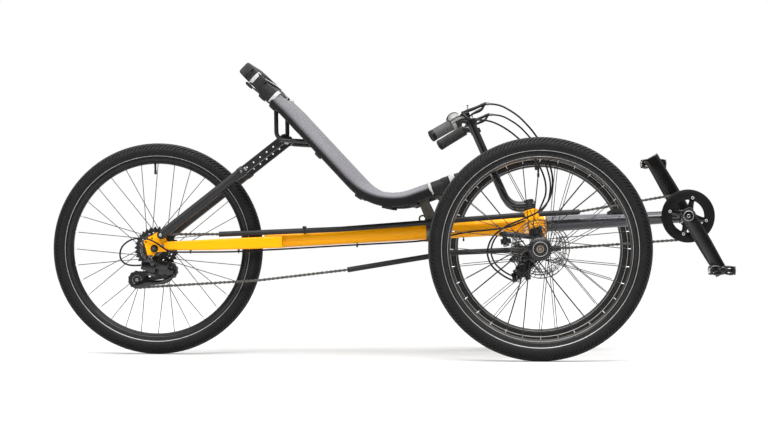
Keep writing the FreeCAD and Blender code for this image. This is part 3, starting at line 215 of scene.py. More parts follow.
amber = Mat("amber_paint")
v = amber.coords()
fleck = amber.ramp(amber.noise(v, 2400, 1), [(0.35, (0.96, 0.375, 0.002)), (0.65, (1.0, 0.425, 0.003))])
broad = amber.ramp(amber.noise(v, 5, 2), [(0.3, (0.96, 0.375, 0.002)), (0.7, (1.0, 0.425, 0.003))])
amber.colour(amber.mix(0.5, fleck, broad))
amber.rough(amber.ramp(amber.noise(v, 30, 4), [(0.3, 0.26), (0.7, 0.36)]))
amber.put("Coat Weight", 0.05)
amber.put("Specular IOR Level", 0.12)
amber.put("Coat Roughness", 0.04)
amber.bump(amber.noise(v, 420, 2), 0.03, 0.0005)
AMBER = amber.m

BOOM = coated("boom_grey", (0.040, 0.040, 0.046), (0.056, 0.056, 0.064), (0.24, 0.34), metal=0.75, coat=0.5, coat_rough=0.1, grain=1500, peel=0.02)
SATIN = coated("satin_black", (0.008, 0.008, 0.009), (0.014, 0.014, 0.0155), (0.33, 0.46), coat=0.12, coat_rough=0.3, grain=1100, peel=0.08, spec=0.3)
SEATBLACK = coated("seat_frame_black", (0.010, 0.010, 0.011), (0.017, 0.017, 0.018), (0.28, 0.4), coat=0.15, coat_rough=0.25, grain=1300, peel=0.06, spec=0.3)
PLASTIC = coated("moulded_black", (0.008, 0.008, 0.0085), (0.015, 0.015, 0.016), (0.42, 0.58), grain=1700, peel=0.18, spec=0.3)
GLOSS = coated("gloss_black", (0.004, 0.004, 0.0045), (0.007, 0.007, 0.0075), (0.18, 0.28), coat=0.05, coat_rough=0.06, grain=700, peel=0.03, spec=0.2)
GUARD = coated("guard_black", (0.0035, 0.0035, 0.004), (0.0065, 0.0065, 0.007), (0.3, 0.42), grain=900, peel=0.04, spec=0.15)
POLBLACK = coated("polished_black", (0.003, 0.003, 0.0035), (0.006, 0.006, 0.0065), (0.13, 0.2), grain=700, peel=0.02, spec=0.55)
POSTMETAL = coated("bronze_anodised", (0.085, 0.075, 0.060), (0.125, 0.110, 0.090), (0.22, 0.34), metal=0.5, coat=0.2, coat_rough=0.15, grain=1300, peel=0.05)
PALE = coated("satin_aluminium", (0.34, 0.335, 0.325), (0.46, 0.455, 0.445), (0.3, 0.45), metal=0.3, grain=1500, peel=0.06, patch=50)
CABLE = coated("cable_housing", (0.004, 0.004, 0.0045), (0.008, 0.008, 0.0085), (0.34, 0.5), spec=0.2, grain=2600, peel=0.06)
SHIFTER = coated("shifter_grey", (0.20, 0.20, 0.195), (0.27, 0.27, 0.262), (0.30, 0.45), coat=0.4, coat_rough=0.15, grain=1400, peel=0.06)
SILVER = coated("zinc_bolt", (0.55, 0.55, 0.56), (0.72, 0.72, 0.72), (0.22, 0.38), metal=0.95, grain=1500, peel=0.08, patch=60)
NIPPLE = coated("nickel_nipple", (0.26, 0.255, 0.25), (0.38, 0.375, 0.37), (0.26, 0.42), metal=0.9, grain=1500, peel=0.05, patch=60)
DARKSTEEL = coated("dark_steel", (0.10, 0.10, 0.105), (0.16, 0.16, 0.165), (0.25, 0.4), metal=0.95, grain=1500, peel=0.05, patch=40)
SPOKE = coated("spoke_steel", (0.007, 0.007, 0.0075), (0.016, 0.016, 0.017), (0.34, 0.5), metal=0.35, grain=3000, peel=0.04, patch=30)
CHAIN = coated("chain_steel", (0.075, 0.070, 0.064), (0.20, 0.188, 0.172), (0.28, 0.46), metal=0.85, grain=1200, peel=0.12, patch=90)
AGED = coated("aged_brass_steel", (0.17, 0.135, 0.105), (0.26, 0.21, 0.165), (0.3, 0.5), metal=0.35, grain=1500, peel=0.1, patch=120)
STRIPE = coated("reflective_stripe", (0.27, 0.27, 0.265), (0.37, 0.37, 0.36), (0.3, 0.42), metal=0.35, grain=3500, peel=0.2, patch=50)
LENS = coated("reflector_clear", (0.62, 0.62, 0.60), (0.75, 0.75, 0.73), (0.12, 0.22), metal=0.3, coat=0.6, grain=900, peel=0.3, patch=80)
ELASTIC = coated("light_band", (0.36, 0.36, 0.35), (0.52, 0.52, 0.51), (0.45, 0.6), metal=0.0, grain=2600, peel=0.35, patch=60)
GREYHOOD = coated("lever_grey", (0.30, 0.30, 0.30), (0.44, 0.44, 0.44), (0.25, 0.4), metal=0.6, coat=0.3, grain=1600, peel=0.05, patch=40)

def tyre_rubber(name, centre):
    """Rubber: near black on the walls, paler over the crown beyond about 294 mm from the axle."""
    m = Mat(name)
    v = m.coords()
    c = world(centre)
    wall = m.ramp(m.noise(v, 45, 8, 0.7), [(0.32, 0.0035), (0.6, 0.0065), (0.78, 0.013)])
    crown = m.ramp(m.noise(v, 60, 8, 0.7), [(0.32, 0.020), (0.6, 0.036), (0.78, 0.062)])
    ln = m.node("ShaderNodeVectorMath")
    ln.operation = "LENGTH"
    m.link(m.coords(scale=(1, 0, 1), loc=(-c.x, 0, -c.z)), ln.inputs[0])
    k = m.node("ShaderNodeMapRange")
    k.inputs[1].default_value = 0.2938
    k.inputs[2].default_value = 0.2982
    m.link(ln.outputs["Value"], k.inputs[0])
    mixc = m.node("ShaderNodeMix")
    mixc.data_type = "RGBA"
    m.link(k.outputs[0], mixc.inputs[0])
    m.link(wall, mixc.inputs[6])
    m.link(crown, mixc.inputs[7])
    m.colour(mixc.outputs[2])
    m.rough(m.ramp(m.noise(v, 130, 5), [(0.3, 0.48), (0.7, 0.68)]))
    m.put("Specular IOR Level", 0.2)
    m.bump(m.noise(v, 1500, 4, 0.7), 0.35, 0.0006)
    return m.m


TYRE = tyre_rubber("tyre_rubber_front", P(0, 0, AZ))
TYRER = tyre_rubber("tyre_rubber_rear", P(RX, 0, AZ))

grip_m = Mat("grip_rubber")
v = grip_m.coords()
grip_m.colour(grip_m.ramp(grip_m.voronoi(v, 620), [(0.1, 0.038), (0.7, 0.016)]))
grip_m.rough(grip_m.ramp(grip_m.noise(v, 160, 5), [(0.3, 0.55), (0.7, 0.78)]))
grip_m.bump(grip_m.voronoi(v, 620), 0.5, 0.0008)
GRIP = grip_m.m
grip_l = Mat("grip_rubber_light")
v = grip_l.coords()
grip_l.colour(grip_l.ramp(grip_l.voronoi(v, 520), [(0.1, 0.11), (0.7, 0.05)]))
grip_l.rough(grip_l.ramp(grip_l.noise(v, 160, 5), [(0.3, 0.5), (0.7, 0.7)]))
grip_l.bump(grip_l.voronoi(v, 520), 0.6, 0.0009)
GRIPLIGHT = grip_l.m


def turned(name, lo, hi, rough, centre, metal=0.95, scale=220.0):
    """Turned metal: fine rings about the wheel's own axis."""
    m = Mat(name)
    c = world(centre)
    v = m.coords(loc=(-c.x, 0, -c.z))
    w = m.wave(v, scale, "RINGS", "Y", 1.2, 2)
    m.colour(m.ramp(m.noise(m.coords(), 18, 4), [(0.3, lo), (0.7, hi)]))
    m.rough(m.ramp(w, [(0.2, rough[0]), (0.8, rough[1])]))
    m.put("Metallic", metal)
    m.bump(w, 0.12, 0.0003)
    return m.m


ROTOR = turned("rotor_steel", (0.10, 0.098, 0.095), (0.19, 0.187, 0.18), (0.26, 0.42), P(0, 0, AZ))
# painted light: the front rims' bed is a paler grey than the black rim, standing in for the overhead light falling on
# the bed
RIM_BED_PAINTED_LIGHT = turned("rim_bed_painted_lit_grey", (0.060, 0.059, 0.058), (0.105, 0.103, 0.100), (0.22, 0.36), P(0, 0, AZ), 0.65, 160)
RIMF = turned("rim_anodised_front", (0.006, 0.006, 0.0065), (0.012, 0.012, 0.013), (0.24, 0.4), P(0, 0, AZ), 0.25, 160)
RIMR = turned("rim_anodised_rear", (0.009, 0.009, 0.010), (0.017, 0.017, 0.018), (0.24, 0.4), P(RX, 0, AZ), 0.3, 160)
HUBF = turned("hub_anodised_front", (0.004, 0.004, 0.0045), (0.008, 0.008, 0.0085), (0.26, 0.42), P(0, 0, AZ), 0.1, 260)
HUBR = turned("hub_anodised_rear", (0.010, 0.010, 0.011), (0.02, 0.02, 0.021), (0.26, 0.42), P(RX, 0, AZ), 0.3, 260)
COG = turned("cog_steel", (0.0250, 0.0250, 0.0260), (0.0720, 0.0720, 0.0720), (0.28, 0.46), P(RX, 0, AZ), 0.85, 200)
RING = turned("ring_black", (0.0040, 0.0040, 0.0045), (0.007, 0.007, 0.0075), (0.3, 0.45), P(BBX, 0, BBZ), 0.05, 180)


def cloth(name, light, dark, pitch, ribs=0.35, sheen=0.35, rough=0.75, lit_panel=None):
    """Knitted spacer mesh: a regular field of small open cells, with slight ribs.
    The last argument, (light, dark, cloth width), paints a highlight: a paler band over the middle of the cloth and the
    sleeves' upper sides, for the overhead light on the seat's top; the sleeves' lower sides keep the dark thread."""
    m = Mat(name)
    v = m.coords(uv=True)
    cell = m.voronoi(v, 1.0 / pitch, "F1", 0.22)
    rib = m.wave(v, 0.5 / (pitch * 2.2), "BANDS", "Y")
    thread = m.ramp(cell, [(0.16, dark), (0.44, light)])
    # painted highlight: the span and the sleeves' upper sides take the paler colours, the sleeves' lower sides keep the
    # dark thread
    if lit_panel:
        lit_face = m.ramp(cell, [(0.16, lit_panel[1]), (0.44, lit_panel[0])])
        xyz = m.node("ShaderNodeSeparateXYZ")
        m.link(v, xyz.inputs[0])
        sub = m.node("ShaderNodeMath")
        sub.operation = "SUBTRACT"
        m.link(xyz.outputs[0], sub.inputs[0])
        sub.inputs[1].default_value = lit_panel[2] / 2
        ab = m.node("ShaderNodeMath")
        ab.operation = "ABSOLUTE"
        m.link(sub.outputs[0], ab.inputs[0])
        # towards the lap the dark lower band reaches higher up the sleeve, so the painted highlight narrows there
        lap = m.node("ShaderNodeMapRange")
        lap.inputs[1].default_value = 0.30
        lap.inputs[2].default_value = 0.42
        lap.inputs[3].default_value = 0.0
        lap.inputs[4].default_value = 0.0095
        m.link(xyz.outputs[1], lap.inputs[0])
        add = m.node("ShaderNodeMath")
        add.operation = "ADD"
        m.link(ab.outputs[0], add.inputs[0])
        m.link(lap.outputs[0], add.inputs[1])
        scl = m.node("ShaderNodeMath")
        scl.operation = "MULTIPLY"
        scl.inputs[1].default_value = 3.0
        m.link(add.outputs[0], scl.inputs[0])
        edge = m.ramp(scl.outputs[0], [(3.0 * (lit_panel[2] / 2 - 0.0525), 0.0), (3.0 * (lit_panel[2] / 2 - 0.0440), 1.0)])
        mixp = m.node("ShaderNodeMix")
        mixp.data_type = "RGBA"
        m.link(edge, mixp.inputs[0])
        m.link(lit_face, mixp.inputs[6])
        m.link(thread, mixp.inputs[7])
        thread = mixp.outputs[2]
    shade = m.ramp(m.noise(m.coords(), 9, 4), [(0.3, 0.8), (0.7, 1.0)])
    mul = m.node("ShaderNodeMix")
    mul.data_type = "RGBA"
    mul.blend_type = "MULTIPLY"
    mul.inputs[0].default_value = 0.7
    m.link(thread, mul.inputs[6])
    m.link(shade, mul.inputs[7])
    m.colour(mul.outputs[2])
    m.rough(m.ramp(cell, [(0.1, rough + 0.15), (0.5, rough)]))
    m.put("Sheen Weight", sheen)
    m.put("Sheen Roughness", 0.5)
    m.bump(rib, ribs, 0.0012)
    m.bump(cell, 0.7, 0.0009)
    return m.m


# the seat mesh's last argument paints a highlight: a paler band over the seat's top where the overhead light falls
MESH = cloth("seat_mesh", (0.010, 0.0097, 0.0115), (0.004, 0.004, 0.005), 0.0030, 0.3, 0.05, 0.50, ((0.225, 0.220, 0.236), (0.125, 0.121, 0.132), 0.563))
MESH.node_tree.nodes["Principled BSDF"].inputs["Specular IOR Level"].default_value = 0.12
NEO = cloth("seat_pad_fabric", (0.013, 0.013, 0.0145), (0.006, 0.006, 0.007), 0.0016, 0.12, 0.05, 0.6)
NEO.node_tree.nodes["Principled BSDF"].inputs["Specular IOR Level"].default_value = 0.25
web = Mat("webbing")
v = web.coords(uv=True)
web.colour(web.ramp(web.wave(v, 0.5 / 0.0016, "BANDS", "Y"), [(0.2, 0.009), (0.8, 0.022)]))
web.rough(web.ramp(web.noise(v, 800, 3), [(0.3, 0.6), (0.7, 0.85)]))
web.bump(web.wave(v, 0.5 / 0.0016, "BANDS", "Y"), 0.5, 0.0006)
web.bump(web.wave(v, 0.5 / 0.0030, "BANDS", "X"), 0.3, 0.0006)
WEB = web.m


# ------------------------------------------------------------------ mesh helpers
def basis(d, up=None):
    d = d.normalized()
    u = up or (Z if abs(d.z) < 0.9 else X)
    u = (u - d * u.dot(d)).normalized()
    return u, d.cross(u), d


class Piece:
    """Collects parts of one piece, in millimetres, then makes the object."""

    def __init__(self):
        self.v, self.f, self.m, self.s, self.uv = [], [], [], [], {}

    def add(self, vf, mat=0, smooth=True):
        o = len(self.v)
        self.v += [Vector(p) for p in vf[0]]
        for f in vf[1]:
            self.f.append(tuple(i + o for i in f))
            self.m.append(mat)
            self.s.append(smooth)
        return self

    def mirrored(self):
        q = Piece()
        q.v = [Vector((p.x, -p.y, p.z)) for p in self.v]
        q.f = [tuple(reversed(f)) for f in self.f]
        q.m, q.s = list(self.m), list(self.s)
        return q

    def make(self, name, mats, body, slot, sharp=38, replaces=(), ride=True):
        me = bpy.data.meshes.new(name)
        me.from_pydata([tuple(world(p)) for p in self.v], [], self.f)
        for m in (mats if isinstance(mats, (list, tuple)) else [mats]):
            me.materials.append(m)
        me.polygons.foreach_set("material_index", self.m)
        me.polygons.foreach_set("use_smooth", self.s)
        me.validate()
        bm = bmesh.new()
        bm.from_mesh(me)
        bmesh.ops.recalc_face_normals(bm, faces=bm.faces)
        bm.to_mesh(me)
        bm.free()
        if sharp:
            me.set_sharp_from_angle(angle=math.radians(sharp))
        ob = bpy.data.objects.new(name, me)
        bpy.context.scene.collection.objects.link(ob)
        if ride:
            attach(ob, body)
        if replaces:
            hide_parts(*replaces)
        return ob


def lathe(prof, o, d, n=32, closed=False, up=None, a0=0.0, a1=2 * PI):
    """Turns (radius, along) points about the axis d through o."""
    u, w, d = basis(d, up)
    full = abs(a1 - a0 - 2 * PI) < 1e-6
    k = n if full else n + 1
    verts, rings = [], []
    for r, h in prof:
        if abs(r) < 1e-6:
            rings.append([len(verts)])
            verts.append(o + d * h)
        else:
            rings.append(list(range(len(verts), len(verts) + k)))
            for i in range(k):
                a = a0 + (a1 - a0) * i / n
                verts.append(o + d * h + (u * math.cos(a) + w * math.sin(a)) * r)
    faces = []
    pairs = list(zip(rings, rings[1:])) + ([(rings[-1], rings[0])] if closed else [])
    for A, B in pairs:
        for i in range(n):
            j = (i + 1) % k
            if len(A) == 1 and len(B) == 1:
                continue
            if len(A) == 1:
                faces.append((A[0], B[i], B[j]))
            elif len(B) == 1:
                faces.append((A[i], A[j], B[0]))
            else:
                faces.append((A[i], A[j], B[j], B[i]))
    return verts, faces


def cyl(a, b, r, n=20, c=0.5):
    L = (b - a).length
    c = min(c, r * 0.4, L * 0.4)
    return lathe([(0, 0), (r - c, 0), (r - c * 0.3, c * 0.3), (r, c), (r, L - c), (r - c * 0.3, L - c * 0.3), (r - c, L), (0, L)], a, b - a, n)


def ring(o, d, R, r, n=32, k=10):
    """Torus about axis d."""
    return lathe([(R + r * math.cos(2 * PI * i / k), r * math.sin(2 * PI * i / k)) for i in range(k)], o, d, n, closed=True)


def hexbolt(o, d, r=5.0, h=4.0, washer=True):
    """Hex socket cap: a rounded head with a six-sided recess."""
    u, w, d = basis(d)
    v, f = lathe([(0, h - 2.2), (r * 0.45, h - 2.2), (r * 0.52, h), (r * 0.86, h), (r, h - 0.7), (r, 0.6), (r * 0.98, 0)], o, d, 18)
    if washer:
        o2 = len(v)
        v2, f2 = lathe([(r * 0.9, 0.9), (r * 1.3, 0.8), (r * 1.38, 0.4), (r * 1.38, -0.3)], o, d, 20)
        v, f = v + v2, f + [tuple(i + o2 for i in q) for q in f2]
    return v, f


def tube(pts, r, n=10, caps=True, up=None, e=1.0):
    """Tube along points; r may be a list, and e below 1 squares the section."""
    pts = [Vector(p) for p in pts]
    m = len(pts)
    rs = r if hasattr(r, "__len__") else [r] * m
    t0 = (pts[1] - pts[0]).normalized()
    u, w, _ = basis(t0, up)
    verts, faces = [], []
    prev = t0
    for i, p in enumerate(pts):
        a = pts[max(i - 1, 0)]
        b = pts[min(i + 1, m - 1)]
        t = (b - a).normalized()
        q = prev.rotation_difference(t)
        u = q @ u
        u = (u - t * u.dot(t)).normalized()
        w = t.cross(u)
        prev = t
        for k in range(n):
            an = 2 * PI * k / n
            ca, sa = math.cos(an), math.sin(an)
            ca, sa = math.copysign(abs(ca) ** e, ca), math.copysign(abs(sa) ** e, sa)
            verts.append(p + (u * ca + w * sa) * rs[i])
    for i in range(m - 1):
        for k in range(n):
            j = (k + 1) % n
            faces.append((i * n + k, i * n + j, (i + 1) * n + j, (i + 1) * n + k))
    if caps:
        faces.append(tuple(range(n - 1, -1, -1)))
        faces.append(tuple((m - 1) * n + k for k in range(n)))
    return verts, faces


def nurbs(points, res=10):
    """Points along a smooth NURBS line whose control points are given."""
    cu = bpy.data.curves.new("route", "CURVE")
    cu.dimensions = "3D"
    sp = cu.splines.new("NURBS")
    sp.points.add(len(points) - 1)
    for q, p in zip(sp.points, points):
        q.co = (*p, 1.0)
    sp.order_u = 3
    sp.use_endpoint_u = True
    sp.resolution_u = res
    ob = bpy.data.objects.new("route", cu)
    me = bpy.data.meshes.new_from_object(ob)
    out = [v.co.copy() for v in me.vertices]
    bpy.data.objects.remove(ob)
    bpy.data.curves.remove(cu)
    bpy.data.meshes.remove(me)
    return out


def bm_out(bm):
    bm.verts.ensure_lookup_table()
    bm.verts.index_update()
    v = [x.co.copy() for x in bm.verts]
    f = [tuple(q.index for q in y.verts) for y in bm.faces]
    bm.free()
    return v, f


def block(c, size, rot=None, b=1.5, seg=2, taper=None):
    """Box with rounded edges; taper shrinks its +Z end by (x, y) factors."""
    bm = bmesh.new()
    bmesh.ops.create_cube(bm, size=1.0)
    for q in bm.verts:
        k = (taper[0], taper[1]) if taper and q.co.z > 0 else (1, 1)
        q.co = Vector((q.co.x * size[0] * k[0], q.co.y * size[1] * k[1], q.co.z * size[2]))
    bmesh.ops.bevel(bm, geom=list(bm.edges), offset=b, segments=seg, profile=0.6, affect="EDGES")
    M = (rot.to_4x4() if rot else Matrix.Identity(4))
    for q in bm.verts:
        q.co = (M @ q.co) + Vector(c)
    return bm_out(bm)


def rotY(deg):
    """Turn in the XZ plane, +X towards +Z."""
    return Matrix.Rotation(-math.radians(deg), 3, "Y")


def prism(loops, y0, y1, o=Vector((0, 0, 0)), rot=None, bevel=0.0):
    """Plate in the XZ plane: loops[0] is the outline, others are holes; edges may be chamfered."""
    def put(x, y, z):
        p = Vector((x, y, z))
        return (rot @ p if rot else p) + o
    verts, faces = [], []
    lay = []
    for y in (y0, y1):
        rows = []
        for lp in loops:
            rows.append(list(range(len(verts), len(verts) + len(lp))))
            verts += [put(a, y, b) for a, b in lp]
        lay.append(rows)
    flat = [[Vector((a, b, 0)) for a, b in lp] for lp in loops]
    if len(loops) == 1:
        faces.append(tuple(lay[0][0]))
        faces.append(tuple(reversed(lay[1][0])))
    else:
        tri = tessellate_polygon(flat)
        i0 = [i for row in lay[0] for i in row]
        i1 = [i for row in lay[1] for i in row]
        for t in tri:
            faces.append(tuple(i0[i] for i in t))
            faces.append(tuple(i1[i] for i in reversed(t)))
    for k in range(len(loops)):
        A, B = lay[0][k], lay[1][k]
        n = len(A)
        for i in range(n):
            j = (i + 1) % n
            faces.append((A[i], A[j], B[j], B[i]))
    if bevel:
        bm = bmesh.new()
        bv = [bm.verts.new(p) for p in verts]
        for f in faces:
            bm.faces.new([bv[i] for i in f])
        bmesh.ops.recalc_face_normals(bm, faces=bm.faces)
        ed = [e for e in bm.edges if len(e.link_faces) == 2 and e.calc_face_angle(0) > math.radians(55)]
        bmesh.ops.bevel(bm, geom=ed, offset=bevel, segments=2, profile=0.6, affect="EDGES")
        return bm_out(bm)
    return verts, faces


def arc2(cx, cz, r, a0, a1, n):
    return [(cx + r * math.cos(math.radians(a0 + (a1 - a0) * i / n)), cz + r * math.sin(math.radians(a0 + (a1 - a0) * i / n))) for i in range(n + 1)]


def circle2(cx, cz, r, n=24):
    return [(cx + r * math.cos(2 * PI * i / n), cz + r * math.sin(2 * PI * i / n)) for i in range(n)]


def sprocket(teeth, root, tip, phase=0.0):
    """Toothed outline: hooked root, narrow tip."""
    pts = []
    for i in range(teeth):
        a = 2 * PI * i / teeth + phase
        s = 2 * PI / teeth
        for k, r in ((-0.34, root + 0.3), (-0.2, root + (tip - root) * 0.62), (-0.075, tip), (0.075, tip), (0.2, root + (tip - root) * 0.62), (0.34, root + 0.3), (0.5, root)):
            pts.append((r * math.cos(a + k * s), r * math.sin(a + k * s)))
    return pts


def fillet(points, radii, step=6.0):
    """Evenly spaced points along a path with rounded corners (2 or 3 numbers)."""
    pts = [Vector(p) for p in points]
    out = [pts[0]]
    for i in range(1, len(pts) - 1):
        a, b, c = pts[i - 1], pts[i], pts[i + 1]
        va, vb = (a - b).normalized(), (c - b).normalized()
        ang = va.angle(vb)
        r = radii[i - 1]
        t = r / math.tan(ang / 2)
        mid = (va + vb).normalized()
        cen = b + mid * (r / math.sin(ang / 2))
        p0, p1 = b + va * t, b + vb * t
        n = max(2, int(r * (PI - ang) / step) + 1)
        e0, e1 = (p0 - cen), (p1 - cen)
        tot = e0.angle(e1)
        for k in range(n + 1):
            f = k / n
            q = (e0 * math.sin((1 - f) * tot) + e1 * math.sin(f * tot)) / math.sin(tot)
            out.append(cen + q)
    out.append(pts[-1])
    # resample evenly
    length = [0.0]
    for a, b in zip(out, out[1:]):
        length.append(length[-1] + (b - a).length)
    total = length[-1]
    n = max(2, int(round(total / step)))
    res, k = [], 0
    for i in range(n + 1):
        s = total * i / n
        while k < len(out) - 2 and length[k + 1] < s:
            k += 1
        d = length[k + 1] - length[k]
        res.append(out[k].lerp(out[k + 1], 0 if d < 1e-9 else (s - length[k]) / d))
    return res


def paint(node, *mats):
    me = frame["nodes"][node].data
    me.materials.clear()
    for m in mats:
        me.materials.append(m)


# CAD nodes that keep their shape
for n, m in {
        "main_tube": AMBER, "cross_member": AMBER, "chainstays": AMBER, "dropouts": AMBER, "boom": BOOM, "boom_block": PLASTIC,
        "ring_eye": DARKSTEEL, "rear_axle": DARKSTEEL, "seat_back_hoop": SEATBLACK, "seat_base_hoop": SEATBLACK, "seat_cross_tubes": SEATBLACK,
        "seat_bracket": SEATBLACK, "stay_extensions": SATIN, "seat_stays": SATIN, "seat_post": POSTMETAL, "chain_tube_upper": PLASTIC,
        "chain_tube_lower": PLASTIC, "right_knuckle": SATIN, "left_knuckle": SATIN, "right_handlebar": POLBLACK, "left_handlebar": POLBLACK,
        "right_front_rim": RIMF, "left_front_rim": RIMF, "rear_rim": RIMR, "right_front_spokes": SPOKE, "left_front_spokes": SPOKE,
        "rear_spokes": SPOKE, "right_front_hub": HUBF, "left_front_hub": HUBF, "rear_hub": HUBR, "tie_rod": SATIN,
        "right_brake_cable": CABLE, "left_brake_cable": CABLE, "chainring": RING, "chain_guard": GUARD, "derailleur_cage": POLBLACK,
        "crank_arms": POLBLACK, "cassette": COG, "right_disc": ROTOR, "left_disc": ROTOR, "derailleur_body": POLBLACK,
        "chain_upper": CHAIN, "chain_lower": CHAIN, "chain_wraps": CHAIN, "right_pedal": POLBLACK, "left_pedal": POLBLACK,
        "right_grip": GRIPLIGHT, "left_grip": GRIP, "twist_shifter": SHIFTER, "right_brake_lever": GLOSS, "left_brake_lever": GLOSS,
        "right_caliper": GLOSS, "left_caliper": GLOSS, "seat_sling": MESH, "shift_cable_front": CABLE, "shift_cable_rear": CABLE,
        "right_front_tyre": TYRE, "left_front_tyre": TYRE, "rear_tyre": TYRER}.items():
    paint(n, m)

# ------------------------------------------------------------------ tyres
SEC_R, SEC_C = 23.5, 277.0      # round section: its radius and how far out its middle is


def make_tyre(name, c, body, node, lead):
    """Tread blocks with slanted sipes on the crown, plain walls, a thin reflective line and beads."""
    pitches = 156
    cols = []                     # (angle round the section, material, depth on sipe, slant share)
    crown = [(-72, 0.0), (-66, 1.0), (-52, 1.0), (-42, 1.0), (-31, 1.0), (-21, 1.0), (-15.5, 1.0), (-14.6, 2), (-10.6, 2), (-9.7, 0.0), (-4, 0.0),
             (4, 0.0), (9.7, 0.0), (10.6, 2), (14.6, 2), (15.5, 1.0), (21, 1.0), (31, 1.0), (42, 1.0), (52, 1.0), (66, 1.0), (72, 0.0)]
    left = [-137, -131, -126.9, -126.4, -121.9, -121.4, -112, -100, -88, -80, -75]
    prof = [(a, "wall") for a in left] + [(a, k) for a, k in crown] + [(-a, "wall") for a in reversed(left)]
    seg = []
    for i in range(pitches):
        for f, low in ((0.0, 0), (0.60, 0), (0.68, 1), (0.92, 1)):
            seg.append(((i + f) / pitches * 2 * PI, low))
    n, m = len(seg), len(prof)
    verts = []
    for th, low in seg:
        for a, kind in prof:
            ph = math.radians(a)
            R = SEC_R - 0.3
            sl = 0.0
            if kind == "wall":
                if 121.5 < abs(a) < 126.8:
                    R = SEC_R - 0.05
                elif abs(a) > 126.8:
                    R = SEC_R - 0.3
                slant = min(1.0, max(0.0, (104 - abs(a)) / 35.0))
                sl = slant * 66
            else:
                sl = abs(a)
                if kind == 2:
                    R = SEC_R - 1.9
                elif kind == 1.0 and low:
                    R = SEC_R - 2.3
                elif abs(a) >= 66:
                    R = SEC_R - (1.9 if low else 0.45)
                else:
                    R = SEC_R
            t = th + lead * math.radians(sl) * 0.062
            rr = SEC_C + R * math.cos(ph)
            yy = R * math.sin(ph)
            verts.append(c + Vector((rr * math.cos(t), yy, rr * math.sin(t))))
    faces, mats = [], []
    for i in range(n):
        j = (i + 1) % n
        for k in range(m - 1):
            faces.append((i * m + k, i * m + k + 1, j * m + k + 1, j * m + k))
            a0, a1 = prof[k][0], prof[k + 1][0]
            mats.append(1 if 121.6 <= abs(a0) <= 126.6 and 121.6 <= abs(a1) <= 126.6 else 0)
    # bead and inner wall
    o = len(verts)
    inner = [(260.2, -13.5), (254.3, -10.3), (254.2, 10.3), (260.2, 13.5)]
    for th, low in seg:
        for r, y in inner:
            verts.append(c + Vector((r * math.cos(th), y, r * math.sin(th))))
    q = len(inner)
    for i in range(n):
        j = (i + 1) % n
        faces.append((i * m + 0, j * m + 0, o + j * q + 0, o + i * q + 0)); mats.append(0)
        for k in range(q - 1):
            faces.append((o + i * q + k, o + j * q + k, o + j * q + k + 1, o + i * q + k + 1)); mats.append(0)
        faces.append((i * m + m - 1, o + i * q + q - 1, o + j * q + q - 1, j * m + m - 1)); mats.append(0)
    p = Piece()
    p.v, p.f, p.m, p.s = verts, faces, mats, [True] * len(faces)
    return p.make(name, [TYRER if body == "rear_wheel" else TYRE, STRIPE], body, "tyre", 30, [node])


CR, CL, CB = P(0, -HT, AZ), P(0, HT, AZ), P(RX, 0, AZ)
make_tyre("right_front_tyre_treaded", CR, "right_front_wheel", "right_front_tyre", 1)
make_tyre("left_front_tyre_treaded", CL, "left_front_wheel", "left_front_tyre", 1)
make_tyre("rear_tyre_treaded", CB, "rear_wheel", "rear_tyre", 1)


# ------------------------------------------------------------------ wheels: nipples, spoke heads, valves, rim beds with painted light and painted highlight rings
def wheel_fittings(name, c, body, left_y, right_y, valve_deg):
    p = Piece()
    for i in range(32):
        side = left_y if i % 2 == 0 else right_y
        lead = 1 if (i // 2) % 2 == 0 else -1
        a = 2 * PI * i / 32
        ah = a + lead * math.radians(62)
        off = 1.6 * lead * (1 if side > 0 else -1)
        hubp = c + Vector((27 * math.cos(ah), side + off, 27 * math.sin(ah)))
        rimp = c + Vector((246.2 * math.cos(a), 2.5 if side > 0 else -2.5, 246.2 * math.sin(a)))
        d = (hubp - rimp).normalized()
        p.add(lathe([(0, -0.5), (2.1, -0.5), (2.1, 1.4), (1.5, 2.6), (1.45, 12.0), (1.05, 13.0), (0, 13.2)], rimp, d, 8), 0)
        # spoke head at the flange
        s = 1 if off * side > 0 else -1
        p.add(cyl(hubp + Y * (1.3 * s * (1 if side > 0 else -1)), hubp - Y * (3.3 * s * (1 if side > 0 else -1)), 1.7, 8, 0.5), 0)
    # valve: rubber stem, threaded neck and cap
    a = math.radians(valve_deg)
    rad = -Vector((math.cos(a), 0, math.sin(a)))
    base = c + Vector((246 * math.cos(a), 0, 246 * math.sin(a)))
    p.add(lathe([(0, 0), (4.4, 0), (4.2, 3.0), (3.2, 6.0), (3.1, 19.0), (2.6, 20.0), (2.6, 22.0), (3.5, 22.3), (3.7, 24.0), (3.7, 32.0), (2.9, 34.0), (0, 34.4)], base, rad, 16), 1)
    p.make(name + "_spoke_fittings", [NIPPLE, PLASTIC], body, "steel")
    p = Piece()
    bed = [(248.6, -12.4), (246.6, -10.6), (243.4, -8.2), (241.9, -5.0), (241.5, 0.0), (241.9, 5.0), (243.4, 8.2), (246.6, 10.6), (248.6, 12.4)]
    p.add(lathe(bed, c, Y, 180), 1)
    # painted highlight: thin pale rings at the front rim bed's two edges, for the bright line the rim lips catch
    for y in (-12.6, 12.6) if name != "rear" else ():
        p.add(ring(c + Y * y, Y, 247.9, 0.55, 180, 6), 0)
    p.make(name + "_rim_bed", [PALE, RIM_BED_PAINTED_LIGHT if name != "rear" else RIMR], body, "black_metal", 60)


wheel_fittings("right_front", CR, "right_front_wheel", 22.0, -22.0, 93.0)
wheel_fittings("left_front", CL, "left_front_wheel", 22.0, -22.0, 90.5)
wheel_fittings("rear", CB, "rear_wheel", 30.0, -22.0, 92.0)

